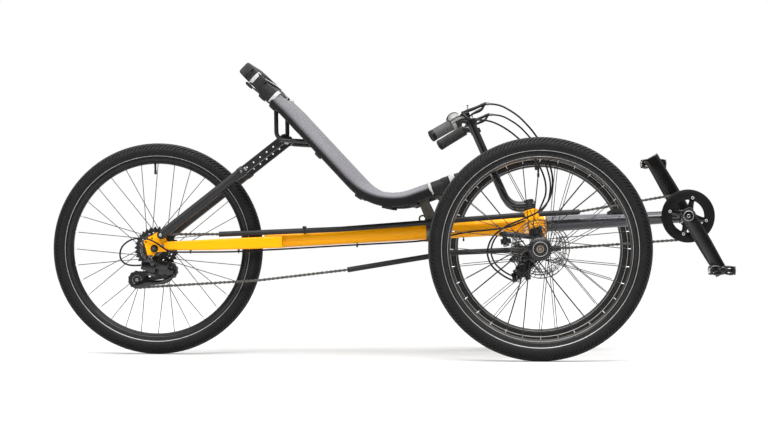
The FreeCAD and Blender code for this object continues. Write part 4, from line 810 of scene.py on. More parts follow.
# front hub end caps
for side, sy, c, body in (("right", -1, CR, "right_front_wheel"), ("left", 1, CL, "left_front_wheel")):
    d = Vector((0, sy, 0))
    p = Piece()
    o = c + d * 24.6
    p.add(lathe([(22.3, 0), (23.6, 0.4), (23.6, 6.4), (22.6, 7.6), (21.2, 7.9), (20.9, 9.6), (20.6, 11.6), (19.9, 12.6)], o, d, 48), 0)
    p.add(lathe([(20.4, 11.6), (19.9, 12.8), (18.1, 13.0), (17.3, 12.2)], o, d, 48), 1)
    p.add(lathe([(16.9, 12.5), (16.4, 11.6), (11.9, 11.5), (11.2, 12.6)], o, d, 48), 0)
    p.add(lathe([(11.4, 12.0), (10.8, 13.1), (7.4, 13.2), (6.8, 12.2)], o, d, 40), 2)
    p.add(lathe([(7.0, 12.2), (5.0, 12.1), (4.6, 12.6)], o, d, 32), 0)
    p.add(lathe([(4.8, 12.4), (4.3, 13.1), (2.0, 13.2), (1.6, 12.0), (0, 12.0)], o, d, 28), 2)
    p.add(lathe([(22.4, 0.4), (30.2, 0.4), (31.2, 1.1), (31.2, 2.2), (30.0, 3.0), (23.4, 4.6)], o, d, 48), 0)
    for k in range(6):
        a = 2 * PI * k / 6 + 0.2
        p.add(cyl(c + Vector((27.2 * math.cos(a), sy * 26.6, 27.2 * math.sin(a))), c + Vector((27.2 * math.cos(a), sy * 29.2, 27.2 * math.sin(a))), 1.5, 8, 0.4), 3)
    p.make(side + "_front_hub_cap", [HUBF, PALE, AGED, DARKSTEEL], body, "black_metal")


# ------------------------------------------------------------------ brake discs
def rotor(side, sy, body, node):
    p = Piece()
    yc = -360.0 if sy < 0 else 360.0
    c = P(0, yc, AZ)

    def ann(r0, r1, t=0.95, n=120, wave=0.0, waves=12):
        lo = [(r0 * math.cos(2 * PI * i / n), r0 * math.sin(2 * PI * i / n)) for i in range(n)]
        hi = []
        for i in range(n):
            a = 2 * PI * i / n
            r = r1 - wave * (0.5 - 0.5 * math.cos(waves * a))
            hi.append((r * math.cos(a), r * math.sin(a)))
        v, f = [], []
        for y in (-t, t):
            for lp in (lo, hi):
                v += [c + Vector((a, y, b)) for a, b in lp]
        for i in range(n):
            j = (i + 1) % n
            f += [(i, j, n + j, n + i), (2 * n + i, 3 * n + i, 3 * n + j, 2 * n + j), (n + i, n + j, 3 * n + j, 3 * n + i), (i, 2 * n + i, 2 * n + j, j)]
        return v, f
    p.add(ann(76.8, 80.0, wave=1.2))
    p.add(ann(69.5, 70.9))
    p.add(ann(62.2, 64.0))
    for i in range(28):
        a = 2 * PI * i / 28
        for r0, r1, tw in ((63.5, 70.0, 0.075), (70.4, 77.6, -0.075)):
            b = a + (0.07 if r0 > 70 else 0)
            p0 = Vector((r0 * math.cos(b), 0, r0 * math.sin(b)))
            p1 = Vector((r1 * math.cos(b + tw), 0, r1 * math.sin(b + tw)))
            e = (p1 - p0).normalized()
            wv = Vector((-e.z, 0, e.x)) * 0.9
            vv = [c + x + Y * y for y in (-0.95, 0.95) for x in (p0 - wv, p1 - wv, p1 + wv, p0 + wv)]
            p.add((vv, [(0, 1, 2, 3), (7, 6, 5, 4), (0, 4, 5, 1), (1, 5, 6, 2), (2, 6, 7, 3), (3, 7, 4, 0)]), 0, False)
    for i in range(6):
        a = 2 * PI * i / 6
        line = []
        for k in range(9):
            f = k / 8
            r = 24 + (62.5 - 24) * f
            line.append((a + 0.55 * f * f, r, 4.2 - 2.6 * math.sin(PI * min(1, f * 1.1))))
        lo_, hi_ = [], []
        for an, r, w in line:
            base = Vector((r * math.cos(an), 0, r * math.sin(an)))
            t = Vector((-math.sin(an), 0, math.cos(an)))
            lo_.append(base - t * w)
            hi_.append(base + t * w)
        loop = lo_ + hi_[::-1]
        p.add(prism([[(q.x, q.z) for q in loop]], -0.95, 0.95, c), 0, False)
        an = a
        p.add(hexbolt(c + Vector((22.0 * math.cos(an), -sy * 1.0, 22.0 * math.sin(an))), Vector((0, -sy, 0)), 3.6, 2.4, False), 1)
    p.add(ann(16.7, 28.5, 1.0, 60))
    p.add(lathe([(16.7, 0), (27.0, 0), (27.0, 5.6), (22.3, 6.4), (16.7, 6.4)], c, Vector((0, sy, 0)), 48, closed=True), 2)
    p.make(side + "_rotor", [ROTOR, SILVER, HUBF], body, "steel", 30, [node])


rotor("right", -1, "right_front_wheel", "right_disc")
rotor("left", 1, "left_front_wheel", "left_disc")


# ------------------------------------------------------------------ brake calipers
def caliper():
    """Right side; the rotor runs in its slot at y -360."""
    p = Piece()
    R = rotY(50)
    mid = P(-46, -360, AZ - 52)

    def at(u, y, w):
        return mid + R @ Vector((u, 0, w)) + Y * y
    for s in (-1, 1):
        y = 7.6 * s if s < 0 else 6.6 * s
        p.add(block(at(2, y, 0), (46, 9.6, 31), R, 2.6, 3), 0)
    # two cheeks with the disc between them, and a bridge outside the disc's edge
    for y in (-7.0, 7.0):
        p.add(block(at(-3, y, -15.5), (30, 7.0, 7), R, 2.0, 3), 0)
    p.add(block(at(-18.5, 0, 0), (8.5, 20, 24), R, 1.6), 0)
    # pad cylinder, outboard, with adjuster
    p.add(lathe([(14.5, 0), (15.0, 1), (15.0, 3.4), (13.2, 4.6), (9.0, 5.2), (8.6, 4.4), (4.4, 4.4), (4.0, 5.6), (0, 5.6)], at(-2, -12.0, 0), -Y, 32), 0)
    # actuating arm side (inboard)
    p.add(lathe([(15.0, 0), (15.0, 5), (11.5, 7.5), (8.0, 8.2), (0, 8.2)], at(-4, 10.5, 0), Y, 32), 0)
    arm0, arm1 = at(-4, 15.0, 0), P(-58, -345.5, AZ - 84)
    p.add(tube([arm0, arm0.lerp(arm1, 0.45) + Y * 1.5, arm1], [6.5, 5.0, 5.4], 12), 0)
    p.add(cyl(arm1 - Y * 5, arm1 + Y * 5, 6.2, 18), 0)
    p.add(hexbolt(arm1 - Y * 5, -Y, 3.4, 2.6), 2)
    # cable stop and barrel
    p.add(cyl(P(-75, -348, AZ - 86), P(-63, -348, AZ - 85), 4.2, 16), 1)
    p.add(block(P(-70, -349, AZ - 76), (12, 9, 24), rotY(12), 2.0), 0)
    # mounting bolts and bracket fins
    for u in (-16.5, 18.0):
        p.add(hexbolt(at(u, -12.5, 10.5), -Y, 3.2, 3.2, False), 1)
    for zz, xm, wd, tilt in ((19.0, -58, 26, 12), (12.5, -66, 22, -14), (6.0, -52, 44, -3), (-1.5, -54, 50, 2), (-8.5, -55, 46, -3), (-15.5, -52, 52, -5), (-22.5, -55, 44, -8), (-29.0, -62, 34, -14)):
        p.add(block(P(xm, -352.5, AZ + zz), (wd, 5.0, 3.6), rotY(tilt), 1.0), 0)
    p.add(block(P(-76, -351.5, AZ - 30), (14, 7.0, 11), rotY(-20), 2.0), 0)
    p.add(block(P(-34, -353.5, AZ - 70), (15, 8.0, 26), rotY(8), 2.0), 0)
    p.add(block(P(-22, -350.5, AZ - 21), (16, 5.0, 50), rotY(-18), 1.5), 0)
    p.add(hexbolt(P(-22, -353.2, AZ - 32), -Y, 3.4, 2.4, False), 1)
    p.add(hexbolt(P(-62, -353.2, AZ + 4), -Y, 3.2, 2.4, False), 1)
    # return spring
    sp = []
    for k in range(61):
        a = k / 60 * 2 * PI * 5
        sp.append(at(-4 + 10.4 * math.cos(a), 10.0 + k / 60 * 7.5, 10.4 * math.sin(a)))
    p.add(tube(sp, 0.75, 6), 3)
    return p


cal = caliper()
cal.make("right_brake_caliper", [GLOSS, DARKSTEEL, SILVER, SPOKE], "right_steering", "black_metal", replaces=["right_caliper"])
cal.mirrored().make("left_brake_caliper", [GLOSS, DARKSTEEL, SILVER, SPOKE], "left_steering", "black_metal", replaces=["left_caliper"])

# ------------------------------------------------------------------ handlebar ends: grips, shifter, levers
KC, KG = P(-23, -320, 393), P(74.2, -400, 0)
KD = (KC - KG).normalized()
CLAMP = KC + KD * 27.5
BAR = [CLAMP + P(16, 0, 1.5), P(-85, -314.5, 417), P(-148, -308, 555), P(-196, -300, 664), P(-292, -332, 607)]
bend_d = (BAR[3] - BAR[4]).normalized()
end = BAR[4]


def grip(s0, s1, r):
    """Ribbed rubber sleeve with an end flange and a plug."""
    p = Piece()
    prof = [(0, s0 + 1.2), (5.5, s0 + 1.0), (6.0, s0 + 0.2), (r - 4.6, s0), (r - 3.6, s0 + 1.4), (r - 3.0, s0 + 0.1), (r - 0.6, s0), (r + 0.5, s0 + 0.9), (r + 0.5, s0 + 9.6), (r - 0.6, s0 + 10.4)]
    s = s0 + 11.4
    p.add(lathe(prof, end, bend_d, 40), 1)
    body = [(r - 0.7, s0 + 10.3)]
    while s < s1 - 4.2:
        body += [(r - 0.75, s), (r, s + 0.35), (r + 0.02, s + 1.9), (r - 0.75, s + 2.25)]
        s += 2.9
    body += [(r - 0.7, s1 - 3.2), (r + 0.45, s1 - 2.8), (r + 0.45, s1 - 0.4), (r - 0.5, s1), (11.3, s1)]
    p.add(lathe(body, end, bend_d, 40), 0)
    return p


grip(-3.9, 60, 15.4).make("right_grip_ribbed", [GRIPLIGHT, GUARD], "right_steering", "grip_rubber", 30, ["right_grip"])
grip(-3.9, 86, 15.4).mirrored().make("left_grip_ribbed", [GRIP, PLASTIC], "left_steering", "grip_rubber", 30, ["left_grip"])

# twist shifter: fluted barrel, body, and a clear-topped gear window standing above it
p = Piece()
u0 = (Z - bend_d * Z.dot(bend_d)).normalized()
w0 = bend_d.cross(u0)
verts, faces = [], []
ns = 48
stations = [(60.6, 15.6), (61.6, 16.6), (70.5, 16.9), (71.5, 15.9)]
for h, r in stations:
    for k in range(ns):
        a = 2 * PI * k / ns
        rr = r + (0.45 if (k % 4 < 2) and 61 < h < 71 else 0.0)
        verts.append(end + bend_d * h + (u0 * math.cos(a) + w0 * math.sin(a)) * rr)
for i in range(len(stations) - 1):
    for k in range(ns):
        j = (k + 1) % ns
        faces.append((i * ns + k, i * ns + j, (i + 1) * ns + j, (i + 1) * ns + k))
p.add((verts, faces), 0)
p.add(lathe([(15.8, 71.3), (17.3, 71.8), (17.6, 74.0), (17.6, 84.6), (16.4, 86.6), (11.3, 86.9)], end, bend_d, 40), 1)
# window hood: part ring above the bar, with a dark rim over it
rows = []
hood = ((60.0, 22.5), (63.0, 25.5), (70.0, 28.0), (79.0, 28.0), (86.0, 24.5), (90.0, 20.5))
for h, r1 in hood:
    row = []
    for k in range(17):
        a = math.radians(-64 + 128 * k / 16)
        e = math.cos(a * 1.35)
        rr = 17.5 + (r1 - 17.5) * max(0.0, e) ** 0.6
        row.append(end + bend_d * h + (u0 * math.cos(a + 0.25) + w0 * math.sin(a + 0.25)) * rr)
    rows.append(row)
vv = [q for row in rows for q in row]
ff = []
last = len(rows) - 1
for i in range(last):
    for k in range(16):
        ff.append((i * 17 + k, i * 17 + k + 1, (i + 1) * 17 + k + 1, (i + 1) * 17 + k))
base = len(vv)
vv += [end + bend_d * h + (u0 * math.cos(math.radians(-64 + 128 * k / 16) + 0.25) + w0 * math.sin(math.radians(-64 + 128 * k / 16) + 0.25)) * 16.4 for h in (60.0, 90.0) for k in range(17)]
for k in range(16):
    ff.append((k, base + k, base + k + 1, k + 1))
    ff.append((last * 17 + k, last * 17 + k + 1, base + 17 + k + 1, base + 17 + k))
p.add((vv, ff), 0)
for turn, rad in ((0.25, 1.7), (-0.55, 1.3), (1.0, 1.3)):
    rim_line = []
    for h, r1 in ((59.0, 18.5),) + hood + ((92.0, 17.6),):
        rr = 17.5 + (r1 - 17.5) * max(0.0, math.cos((turn - 0.25) * 1.35)) ** 0.6 + 0.5
        rim_line.append(end + bend_d * h + (u0 * math.cos(turn) + w0 * math.sin(turn)) * rr)
    p.add(tube(nurbs(rim_line, 6), rad, 8), 1)
p.add(block(end + bend_d * 71.0 + u0 * 16.5 - Y * 15.5, (17.0, 2.0, 7.0), rotY(math.degrees(math.atan2(bend_d.z, bend_d.x))), 0.8), 0)
# cable outlet
p.add(tube([P(-196, -302, 650), P(-189, -302, 650.8), P(-181, -302, 651.2)], [4.4, 4.0, 3.4], 14), 1)
p.make("twist_shifter_body", [SHIFTER, PLASTIC], "right_steering", "grip_rubber", 34, ["twist_shifter"])


def lever():
    """Clamp, bracket, and the two prongs that meet where the brake cable starts, right side."""
    p = Piece()
    c = P(-187, -301.2, 645)
    d = (BAR[3] - BAR[2]).normalized()
    p.add(lathe([(11.3, -7), (14.6, -7), (15.4, -6), (15.4, 6), (14.6, 7), (11.3, 7)], c, d, 32, closed=True), 0)
    p.add(block(c + P(-13, 0, 9), (9, 12, 17), rotY(25), 1.6), 0)
    p.add(hexbolt(c + P(-17.5, -4.5, 5), -Y * 0.9 - X * 0.4, 3.0, 2.6, False), 2)
    # bracket over the bar
    p.add(tube(nurbs([P(-188, -311, 650), P(-199, -311.5, 657), P(-209, -307, 666), P(-209, -302, 672)], 8), 5.2, 14), 0)
    p.add(block(P(-203, -303, 665), (24, 14, 13), rotY(18), 3.0, 3), 0)
    p.add(block(P(-213, -303, 662), (11, 12, 9), rotY(-25), 2.4, 3), 0)
    p.add(cyl(P(-204, -310.5, 664), P(-204, -295.5, 664), 4.0, 18), 2)
    # upper prong: lever stub that carries the cable stop
    up = nurbs([P(-211, -302, 669.5), P(-203, -302, 674.5), P(-189, -302, 678.5), P(-165, -302, 688.0), P(-148, -302, 696.5)], 8)
    p.add(tube(up, [3.6 + 1.0 * math.sin(PI * k / (len(up) - 1)) for k in range(len(up))], 12), 0)
    # lower prong, flat and curved, from the bracket to the stop
    lowp = nurbs([P(-196, -302, 656), P(-190, -302, 663.5), P(-178, -302, 670.5), P(-166, -302, 675.5), P(-156, -302, 682), P(-150, -302, 693)], 8)
    p.add(tube(lowp, [1.9 + 2.5 * math.sin(PI * (k / (len(lowp) - 1)) ** 1.6) for k in range(len(lowp))], 12), 0)
    p.add(tube([P(-160, -302, 690.4), P(-146, -302, 696.0)], [5.0, 4.6], 14), 0)
    p.add(cyl(P(-149, -302, 695.6), P(-139, -302.5, 694.9), 4.2, 16), 2)
    # small upright peg
    p.add(tube([P(-196.7, -302, 677), P(-196.9, -302, 690.5)], [1.9, 1.6], 10), 1)
    p.add(cyl(P(-196.9, -302, 689.5), P(-197.0, -302, 692.0), 2.6, 12), 0)
    return p


lev = lever()
lev.make("right_brake_lever_set", [GLOSS, GREYHOOD, DARKSTEEL], "right_steering", "black_plastic", replaces=["right_brake_lever"])
lev.mirrored().make("left_brake_lever_set", [GLOSS, GREYHOOD, DARKSTEEL], "left_steering", "black_plastic", replaces=["left_brake_lever"])

# shift cable: one housing from the shifter, across the kingpin, to the derailleur
SHIFT = [P(-181, -302, 651), P(-148, -302, 653), P(-104, -300, 636), P(-56, -299, 601), P(-16, -298, 552), P(12, -296, 500), P(18, -292, 454),
         P(6, -282, 424), P(-4, -250, 403), P(-4, -215, 392), P(-8, -150, 383), P(-20, -104, 388), P(-54, -62, 374), P(-86, -36, 361), P(-140, -30, 353), P(-205, -29.5, 348),
         P(-265, -30, 334), P(-325, -20, 322.5), P(-400, -10, 317.5), P(-485, -9.5, 313), P(-570, -9, 308.5), P(-735, -10, 298.5), P(-790, -36, 296), P(-850, -51, 291.5),
         P(-1000, -68, 290.5), P(-1040, -84, 291), P(-1062, -87, 303), P(-1082, -86, 319), P(-1112, -84, 331), P(-1150, -82, 329), P(-1182, -79, 306),
         P(-1186, -76, 270), P(-1160, -73, 250), P(-1122, -70, 254)]
line = nurbs(SHIFT, 8)
p = Piece()
p.add(tube(line, 2.45, 10))
ob = p.make("shift_cable", [CABLE], "frame", "cable_housing", ride=False, replaces=["shift_cable_front", "shift_cable_rear"])
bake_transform(ob)

# ferrules at the cables' ends
p = Piece()
p.add(cyl(P(-147.5, -302, 695.7), P(-135.5, -302.9, 694.6), 3.3, 14), 0)
p.add(cyl(P(-78, -348, 217), P(-68, -348, 213.5), 3.3, 14), 0)
p.make("right_cable_ferrules", [DARKSTEEL], "right_steering", "steel")
p.mirrored().make("left_cable_ferrules", [DARKSTEEL], "left_steering", "steel")

# headset cups, clamp bolts and the bar clamp's split, each side
for side, sy, body in (("right", 1, "right_steering"), ("left", -1, "left_steering")):
    p = Piece()
    q = Piece()
    q.add(lathe([(19.2, -1.0), (20.4, -0.4), (20.5, 1.6), (19.6, 3.2), (17.2, 4.1)], KC + KD * 8.0, KD, 40), 0)
    q.add(lathe([(19.3, 0.0), (20.6, 0.6), (20.6, 3.8), (19.4, 4.4)], KC + KD * (-40.0), KD, 40), 0)
    p.add(lathe([(14.4, 0.0), (15.4, 0.6), (15.4, 2.2), (14.4, 2.8)], KC + KD * 13.0, KD, 36), 0)
    p.add(lathe([(14.4, -1.0), (13.9, 0.8), (11.0, 2.0), (4.4, 2.3), (3.9, 0.9), (0, 0.9)], KC + KD * 40.0, KD, 36), 0)
    for h in (19.0, 33.0):
        o = KC + KD * h + P(-13.4, 3.0, -3)
        p.add(hexbolt(o, (P(-1, 0.1, -0.2)), 2.9, 2.8, False), 2)
    TD = P(-0.185144, 0.193686, 0.963435)
    TIE = P(-96, -316, 321)
    p.add(lathe([(0, 0), (5.2, 0), (6.2, 0.8), (6.2, 4.2), (5.0, 5.2), (0, 5.2)], TIE - TD * 14.5, TD, 6), 1)
    p.add(cyl(TIE + TD * 25.3, TIE + TD * 29.5, 5.6, 6), 1)
    for pt in (P(-12, -332.5, AZ + 6), P(-40, -332.5, AZ - 36), P(-52, -332.5, AZ - 47)):
        p.add(hexbolt(pt, Y, 4.0, 3.2, False), 2)
    if sy < 0:
        p, q = p.mirrored(), q.mirrored()
    p.make(side + "_steering_bolts", [GLOSS, NIPPLE, DARKSTEEL], body, "black_metal")
    q.make(side + "_headset_cups", [AMBER, GLOSS], "frame", "black_metal")

# ------------------------------------------------------------------ frame: welds, collar, clips, post and stay fittings
SL = Vector((1, 0, 0.0556)).normalized()


def tz(x):
    return 369.0 + 0.0556 * x


def weld(o, d, R, r=1.6, n=90, seed=0.0):
    """Ring of overlapping weld ripples."""
    u, w, d = basis(d)
    verts, faces = [], []
    k = 8
    for i in range(n):
        a = 2 * PI * i / n
        rip = 0.32 * math.cos(a * n / 3.0 + seed)
        for j in range(k):
            b = 2 * PI * j / k
            rr = R + (r + rip) * math.cos(b)
            verts.append(o + (u * math.cos(a) + w * math.sin(a)) * rr + d * ((r + rip) * math.sin(b)))
    for i in range(n):
        i2 = (i + 1) % n
        for j in range(k):
            j2 = (j + 1) % k
            faces.append((i * k + j, i * k + j2, i2 * k + j2, i2 * k + j))
    return verts, faces


p = Piece()
mt = lambda x: P(x, 0, tz(x))
p.add(weld(mt(-2.6), SL, 25.6, 1.5))
p.add(weld(mt(-771.0), SL, 24.2, 1.4))
p.add(lathe([(0, 0), (22.0, 0), (24.6, 1.2), (25.0, 3.4)], mt(-774.5), SL, 40))
# cross arm into head tube
for sy in (-1, 1):
    a = P(-33, sy * 8, 352)
    b = KC + KD * (-14)
    b = P(b.x, b.y * (1 if sy < 0 else -1), b.z)
    e = (b - a).normalized()
    t_out = (b - a).length - 19.6
    p.add(weld(a + e * t_out, e, 17.6, 1.6, seed=1.0))
    p.add(weld(a + e * 20.5, e, 17.6, 1.9, seed=2.0))
p.make("frame_weld_beads", [AMBER], "frame", "frame_paint", 60)

# tapered fairing where the main tube runs into the chainstays
p = Piece()
rows = []
for x, r, dz in ((-748.0, 25.3, 0.0), (-768.0, 25.4, 0.0), (-776.0, 24.2, -0.4), (-779.5, 21.5, -0.8), (-781.0, 17.0, -1.0)):
    rows.append([P(x, r * math.cos(2 * PI * k / 32) * 1.0, tz(x) + dz + r * math.sin(2 * PI * k / 32)) for k in range(32)])
vv = [q for r in rows for q in r]
ff = [(i * 32 + k, i * 32 + (k + 1) % 32, (i + 1) * 32 + (k + 1) % 32, (i + 1) * 32 + k) for i in range(len(rows) - 1) for k in range(32)]
ff += [tuple(range(32)), tuple(len(vv) - 32 + k for k in range(31, -1, -1))]
p.add((vv, ff))
p.make("rear_tube_fairing", [AMBER], "frame", "frame_paint", 60)

p = Piece()
# boom clamp: bright lip, pinch bolts
p.add(lathe([(28.3, 0), (29.2, 0.5), (29.2, 2.3), (28.3, 2.9)], mt(13.5), SL, 48), 1)
p.add(lathe([(22.05, 0.0), (24.9, 0.2), (25.2, 1.4), (28.1, 2.0)], mt(21.6), -SL, 48), 0)
for dz in (-31.5, -37.0):
    p.add(hexbolt(P(7.5, -7.0, tz(7.5) + dz), -Y, 3.6, 3.2), 1)
    p.add(cyl(P(7.5, 7, tz(7.5) + dz), P(7.5, 10.0, tz(7.5) + dz), 4.0, 6), 1)
# second collar strap behind
p.add(lathe([(25.1, 0), (26.4, 0.4), (26.4, 7.6), (25.1, 8)], mt(-20), SL, 48), 0)
p.make("boom_clamp_fittings", [GLOSS, SILVER], "frame", "black_metal")

# cable ties and housing clips along the frame
p = Piece()
for x in (-215.0, -517.0):
    c = mt(x)
    pts = []
    for k in range(13):
        a = -PI / 2 + math.radians(34) * (k - 6) / 6
        pts.append(c + Vector((0, math.cos(a) * 26.2, math.sin(a) * 30.6)))
    p.add(tube(pts, 1.5, 6))
    p.add(block(c + P(0, -12, -32.0), (5.0, 6.5, 7.5), None, 0.8), 0)
for x, y, z in ((-812.0, -42.5, 294.3), (-826.0, -45.5, 293.3), (-850.0, -51.0, 291.5), (-985.0, -66.0, 290.8)):
    p.add(ring(P(x, y, z), X, 4.0, 1.2, 18, 6))
    p.add(block(P(x, y, z + 5.0), (6, 6, 4), None, 0.8))
# chain tube clip
for x in (-664.0, -250.0):
    zc = 355.5 + (x + 560) * (375.5 - 355.5) / (260.0) if x > -560 else 355.5 + (x + 560) * (355.5 - 341.3) / 344.0
    p.add(ring(P(x, -43.5, zc), X, 8.2, 1.8, 28, 8))
    p.add(block(P(x, -33.0, zc - 3.5), (9, 14, 4.0), None, 1.0))
    p.add(block(P(x, -43.5, zc + 10.0), (11, 8, 5.5), None, 1.2))
p.make("cable_and_tube_clips", [PLASTIC], "frame", "black_plastic")

# seat post fittings
p = Piece()
pc = (-333.0 + 80.0 / 243.2 * 9, 455.7 - 229.7 / 243.2 * 9)
for sy in (-1, 1):
    p.add(hexbolt(P(pc[0], sy * 19.5, pc[1]), Y * sy, 5.2, 4.0), 1)
    p.add(lathe([(11.2, 0), (14.0, 0.4), (14.4, 2.0), (14.4, 7.0), (13.6, 8.0), (11.2, 8.2)], P(pc[0], sy * 19.8, pc[1]), Y * sy, 32), 0)
    p.add(hexbolt(P(-302, sy * 19.5, 378), Y * sy, 4.4, 3.8), 1)
p.add(block(P(-301, 0, tz(-301) - 32), (26, 16, 12), None, 2.0), 0)
p.add(cyl(P(-301, -13, tz(-301) - 33), P(-301, 13, tz(-301) - 33), 3.4, 14), 1)
# quick lever on the post clamp
p.add(tube(nurbs([P(-301, 14, tz(-301) - 33), P(-306, 20, tz(-301) - 33), P(-330, 22, tz(-301) - 30), P(-345, 22, tz(-301) - 27)], 6), 2.6, 10), 1)
p.make("seat_post_fittings", [SEATBLACK, SILVER], "frame", "black_metal")

# stays: clamp bolts, end plugs, the pivot bolts at the dropouts and bracket eyes
p = Piece()
A, B, C = P(-1061, 0, 342.1), P(-830, 0, 523.0), P(-724, 0, 606.0)
dA = (B - A).normalized()
dB = (C - B).normalized()
for sy in (-1, 1):
    off = Y * (91.0 * sy)
    p.add(lathe([(13.1, 0), (14.4, 0.6), (14.6, 2.0), (14.6, 16.0), (14.0, 17.2), (13.1, 17.6)], B + off - dA * 19, dA, 36), 0)
    p.add(block(B + off - dA * 11 + Y * (sy * 14.2), (16, 5, 12), rotY(38), 1.6), 0)
    p.add(hexbolt(B + off - dA * 9.0 + Y * (sy * 15.8), Y * sy, 3.6, 3.0), 1)
    # dark rims round the flat extension's holes
    for i in range(5):
        c = B + off + dB * (10.0 + 23.5 * i) + Y * (sy * 5.1)
        p.add(lathe([(2.5, -0.4), (2.7, 0.3), (3.3, 0.3), (3.6, -0.1)], c, Y * sy, 16), 0)
    p.add(hexbolt(B + off + dB * 4.0 + Y * (sy * 5.2), Y * sy, 4.0, 3.2), 1)
    for k in (6.0, -6.5):
        p.add(hexbolt(C + off + dB * k + Y * (sy * 5.2), Y * sy, 2.7, 2.4, False), 1)
    # foot bolt at the dropout
    p.add(hexbolt(P(RX + 22, sy * 105.0, AZ + 38.5), Y * sy, 4.4, 3.6, False), 1)
    p.add(weld(P(RX + 22, sy * 77.2, AZ + 38.5), Y, 10.8, 1.2, 48))
    # dropout details: domed screws
    p.add(hexbolt(P(RX + 24.0, sy * 75.4, AZ + 8.0), Y * sy, 3.4, 2.6), 1)
for sy in (-1, 1):
    p.add(block(P(-717, sy * 91.0, 612), (17, 14, 19), rotY(38), 3.0, 3), 0)
p.make("seat_stay_fittings", [SATIN, SILVER, DARKSTEEL], "frame", "black_metal")

# bracket welds on the cross tubes
p = Piece()
for sy in (-1, 1):
    p.add(weld(P(C.x, sy * 158.5, C.z), Y, 7.4, 1.1, 36))
p.make("seat_bracket_welds", [SEATBLACK], "frame", "black_metal", 60)

# rear axle: nut faces and washers
p = Piece()
for sy in (-1, 1):
    p.add(lathe([(5.2, 0), (10.4, 0), (10.8, 0.5), (10.8, 1.4), (8.8, 1.6)], P(RX, sy * 75.6, AZ), Y * sy, 32), 0)
    p.add(lathe([(5.1, 0), (8.6, 0), (9.6, 0.8), (9.6, 5.0), (8.4, 6.6), (5.1, 6.8)], P(RX, sy * 77.2, AZ), Y * sy, 6), 0)
p.make("rear_axle_nuts", [GLOSS, DARKSTEEL], "frame", "black_metal")

# bottom bracket cups and the front of the boom
p = Piece()
BB = P(BBX, 0, BBZ)
for sy in (-1, 1):
    p.add(lathe([(9.2, 0), (17.0, 0), (17.6, 0.8), (20.6, 0.4), (21.2, 1.0), (21.2, 3.2), (20.5, 3.8)], BB + Y * (sy * 37.2), -Y * sy, 48), 0)
    for k in range(8):
        a = 2 * PI * k / 8
        p.add(block(BB + P(18.4 * math.cos(a), sy * 37.0, 18.4 * math.sin(a)), (3.0, 1.6, 3.0), rotY(math.degrees(a)), 0.4, 1), 0)
p.add(weld(BB - SL * 21.0, SL, 18.4, 1.5, 60))
p.make("bottom_bracket_cups", [GLOSS], "frame", "black_metal")

# ------------------------------------------------------------------ cranks
PR = J["right_pedal_spin"]["pos_m"]
CA = math.degrees(math.atan2(BBZ - PR[2] * 1000, (PR[0] - FX) * 1000 - BBX))
END_R = BB + P(175 * math.cos(math.radians(CA)), 0, -175 * math.sin(math.radians(CA)))
END_L = BB - P(175 * math.cos(math.radians(CA)), 0, -175 * math.sin(math.radians(CA)))


def arm(sy, deg, tip, more=0.0):
    """Crank arm: wide rounded bar, flat-ended, with its pedal eye."""
    p = Piece()
    R = rotY(deg)
    rows = []
    st = [(-20.5, 16.2, 5.5), (-19.5, 18.0, 6.6), (-15, 19.0, 7.4), (0, 19.8, 7.9), (30, 21.4, 7.6), (95, 21.0, 7.2), (150, 19.4, 7.0), (tip - 6, 19.2, 6.9), (tip - 1.2, 19.0, 6.4), (tip, 18.2, 5.6)]
    for s, hw, ht in st:
        hw += more
        row = []
        for k in range(28):
            a = 2 * PI * k / 28
            cx, sx = math.cos(a), math.sin(a)
            e = 0.5
            w = hw * (abs(cx) ** e) * (1 if cx >= 0 else -1)
            t = ht * (abs(sx) ** 0.95) * (1 if sx >= 0 else -1)
            row.append(BB + R @ Vector((s, 0, w)) + Y * (sy * 75.5 + t))
        rows.append(row)
    n = len(rows)
    vv = [q for r in rows for q in r]
    ff = []
    for i in range(n - 1):
        for k in range(28):
            j = (k + 1) % 28
            ff.append((i * 28 + k, i * 28 + j, (i + 1) * 28 + j, (i + 1) * 28 + k))
    ff += [tuple(range(28)), tuple((n - 1) * 28 + k for k in range(27, -1, -1))]
    p.add((vv, ff), 0)
    # axle bolt recess ring, bolt and the pedal eye
    o = BB + Y * (sy * 82.6)
    p.add(lathe([(15.2, -1.4), (14.9, 0.4), (13.9, 1.3), (12.7, 1.2), (11.9, 0.2), (11.6, -0.8)], o, Y * sy, 40), 3)
    p.add(lathe([(11.5, -0.6), (8.6, -0.4), (8.0, 0.6), (5.0, 0.8), (4.6, -0.2), (0, -0.2)], o, Y * sy, 36), 0)
    p.add(lathe([(4.8, 0.7), (4.1, 1.0), (3.2, 0.9), (2.8, -0.3)], o, Y * sy, 24), 1)
    e = BB + R @ Vector((175, 0, 0)) + Y * (sy * 82.2)
    p.add(lathe([(14.0, -0.6), (13.2, 0.7), (8.4, 0.9), (7.3, 0.4), (7.2, -3)], e, Y * sy, 36), 0)
    return p


p = arm(-1, -CA, 187.0)
q = arm(1, 180 - CA, 196.5, 2.2)
o = len(p.v)
p.v += q.v
p.f += [tuple(i + o for i in f) for f in q.f]
p.m += q.m
p.s += q.s
p.add(lathe([(9.0, 0), (9.0, 138)], BB - Y * 69, Y, 28), 2)
p.add(lathe([(9.0, 49.0), (20.5, 49.2), (22.0, 50.4), (22.0, 60.0), (20.0, 68.0), (17.5, 70.0)], BB, -Y, 40), 0)
p.add(lathe([(9.0, 60.0), (15.5, 60.4), (18.0, 62.5), (18.0, 68.5)], BB, Y, 40), 0)
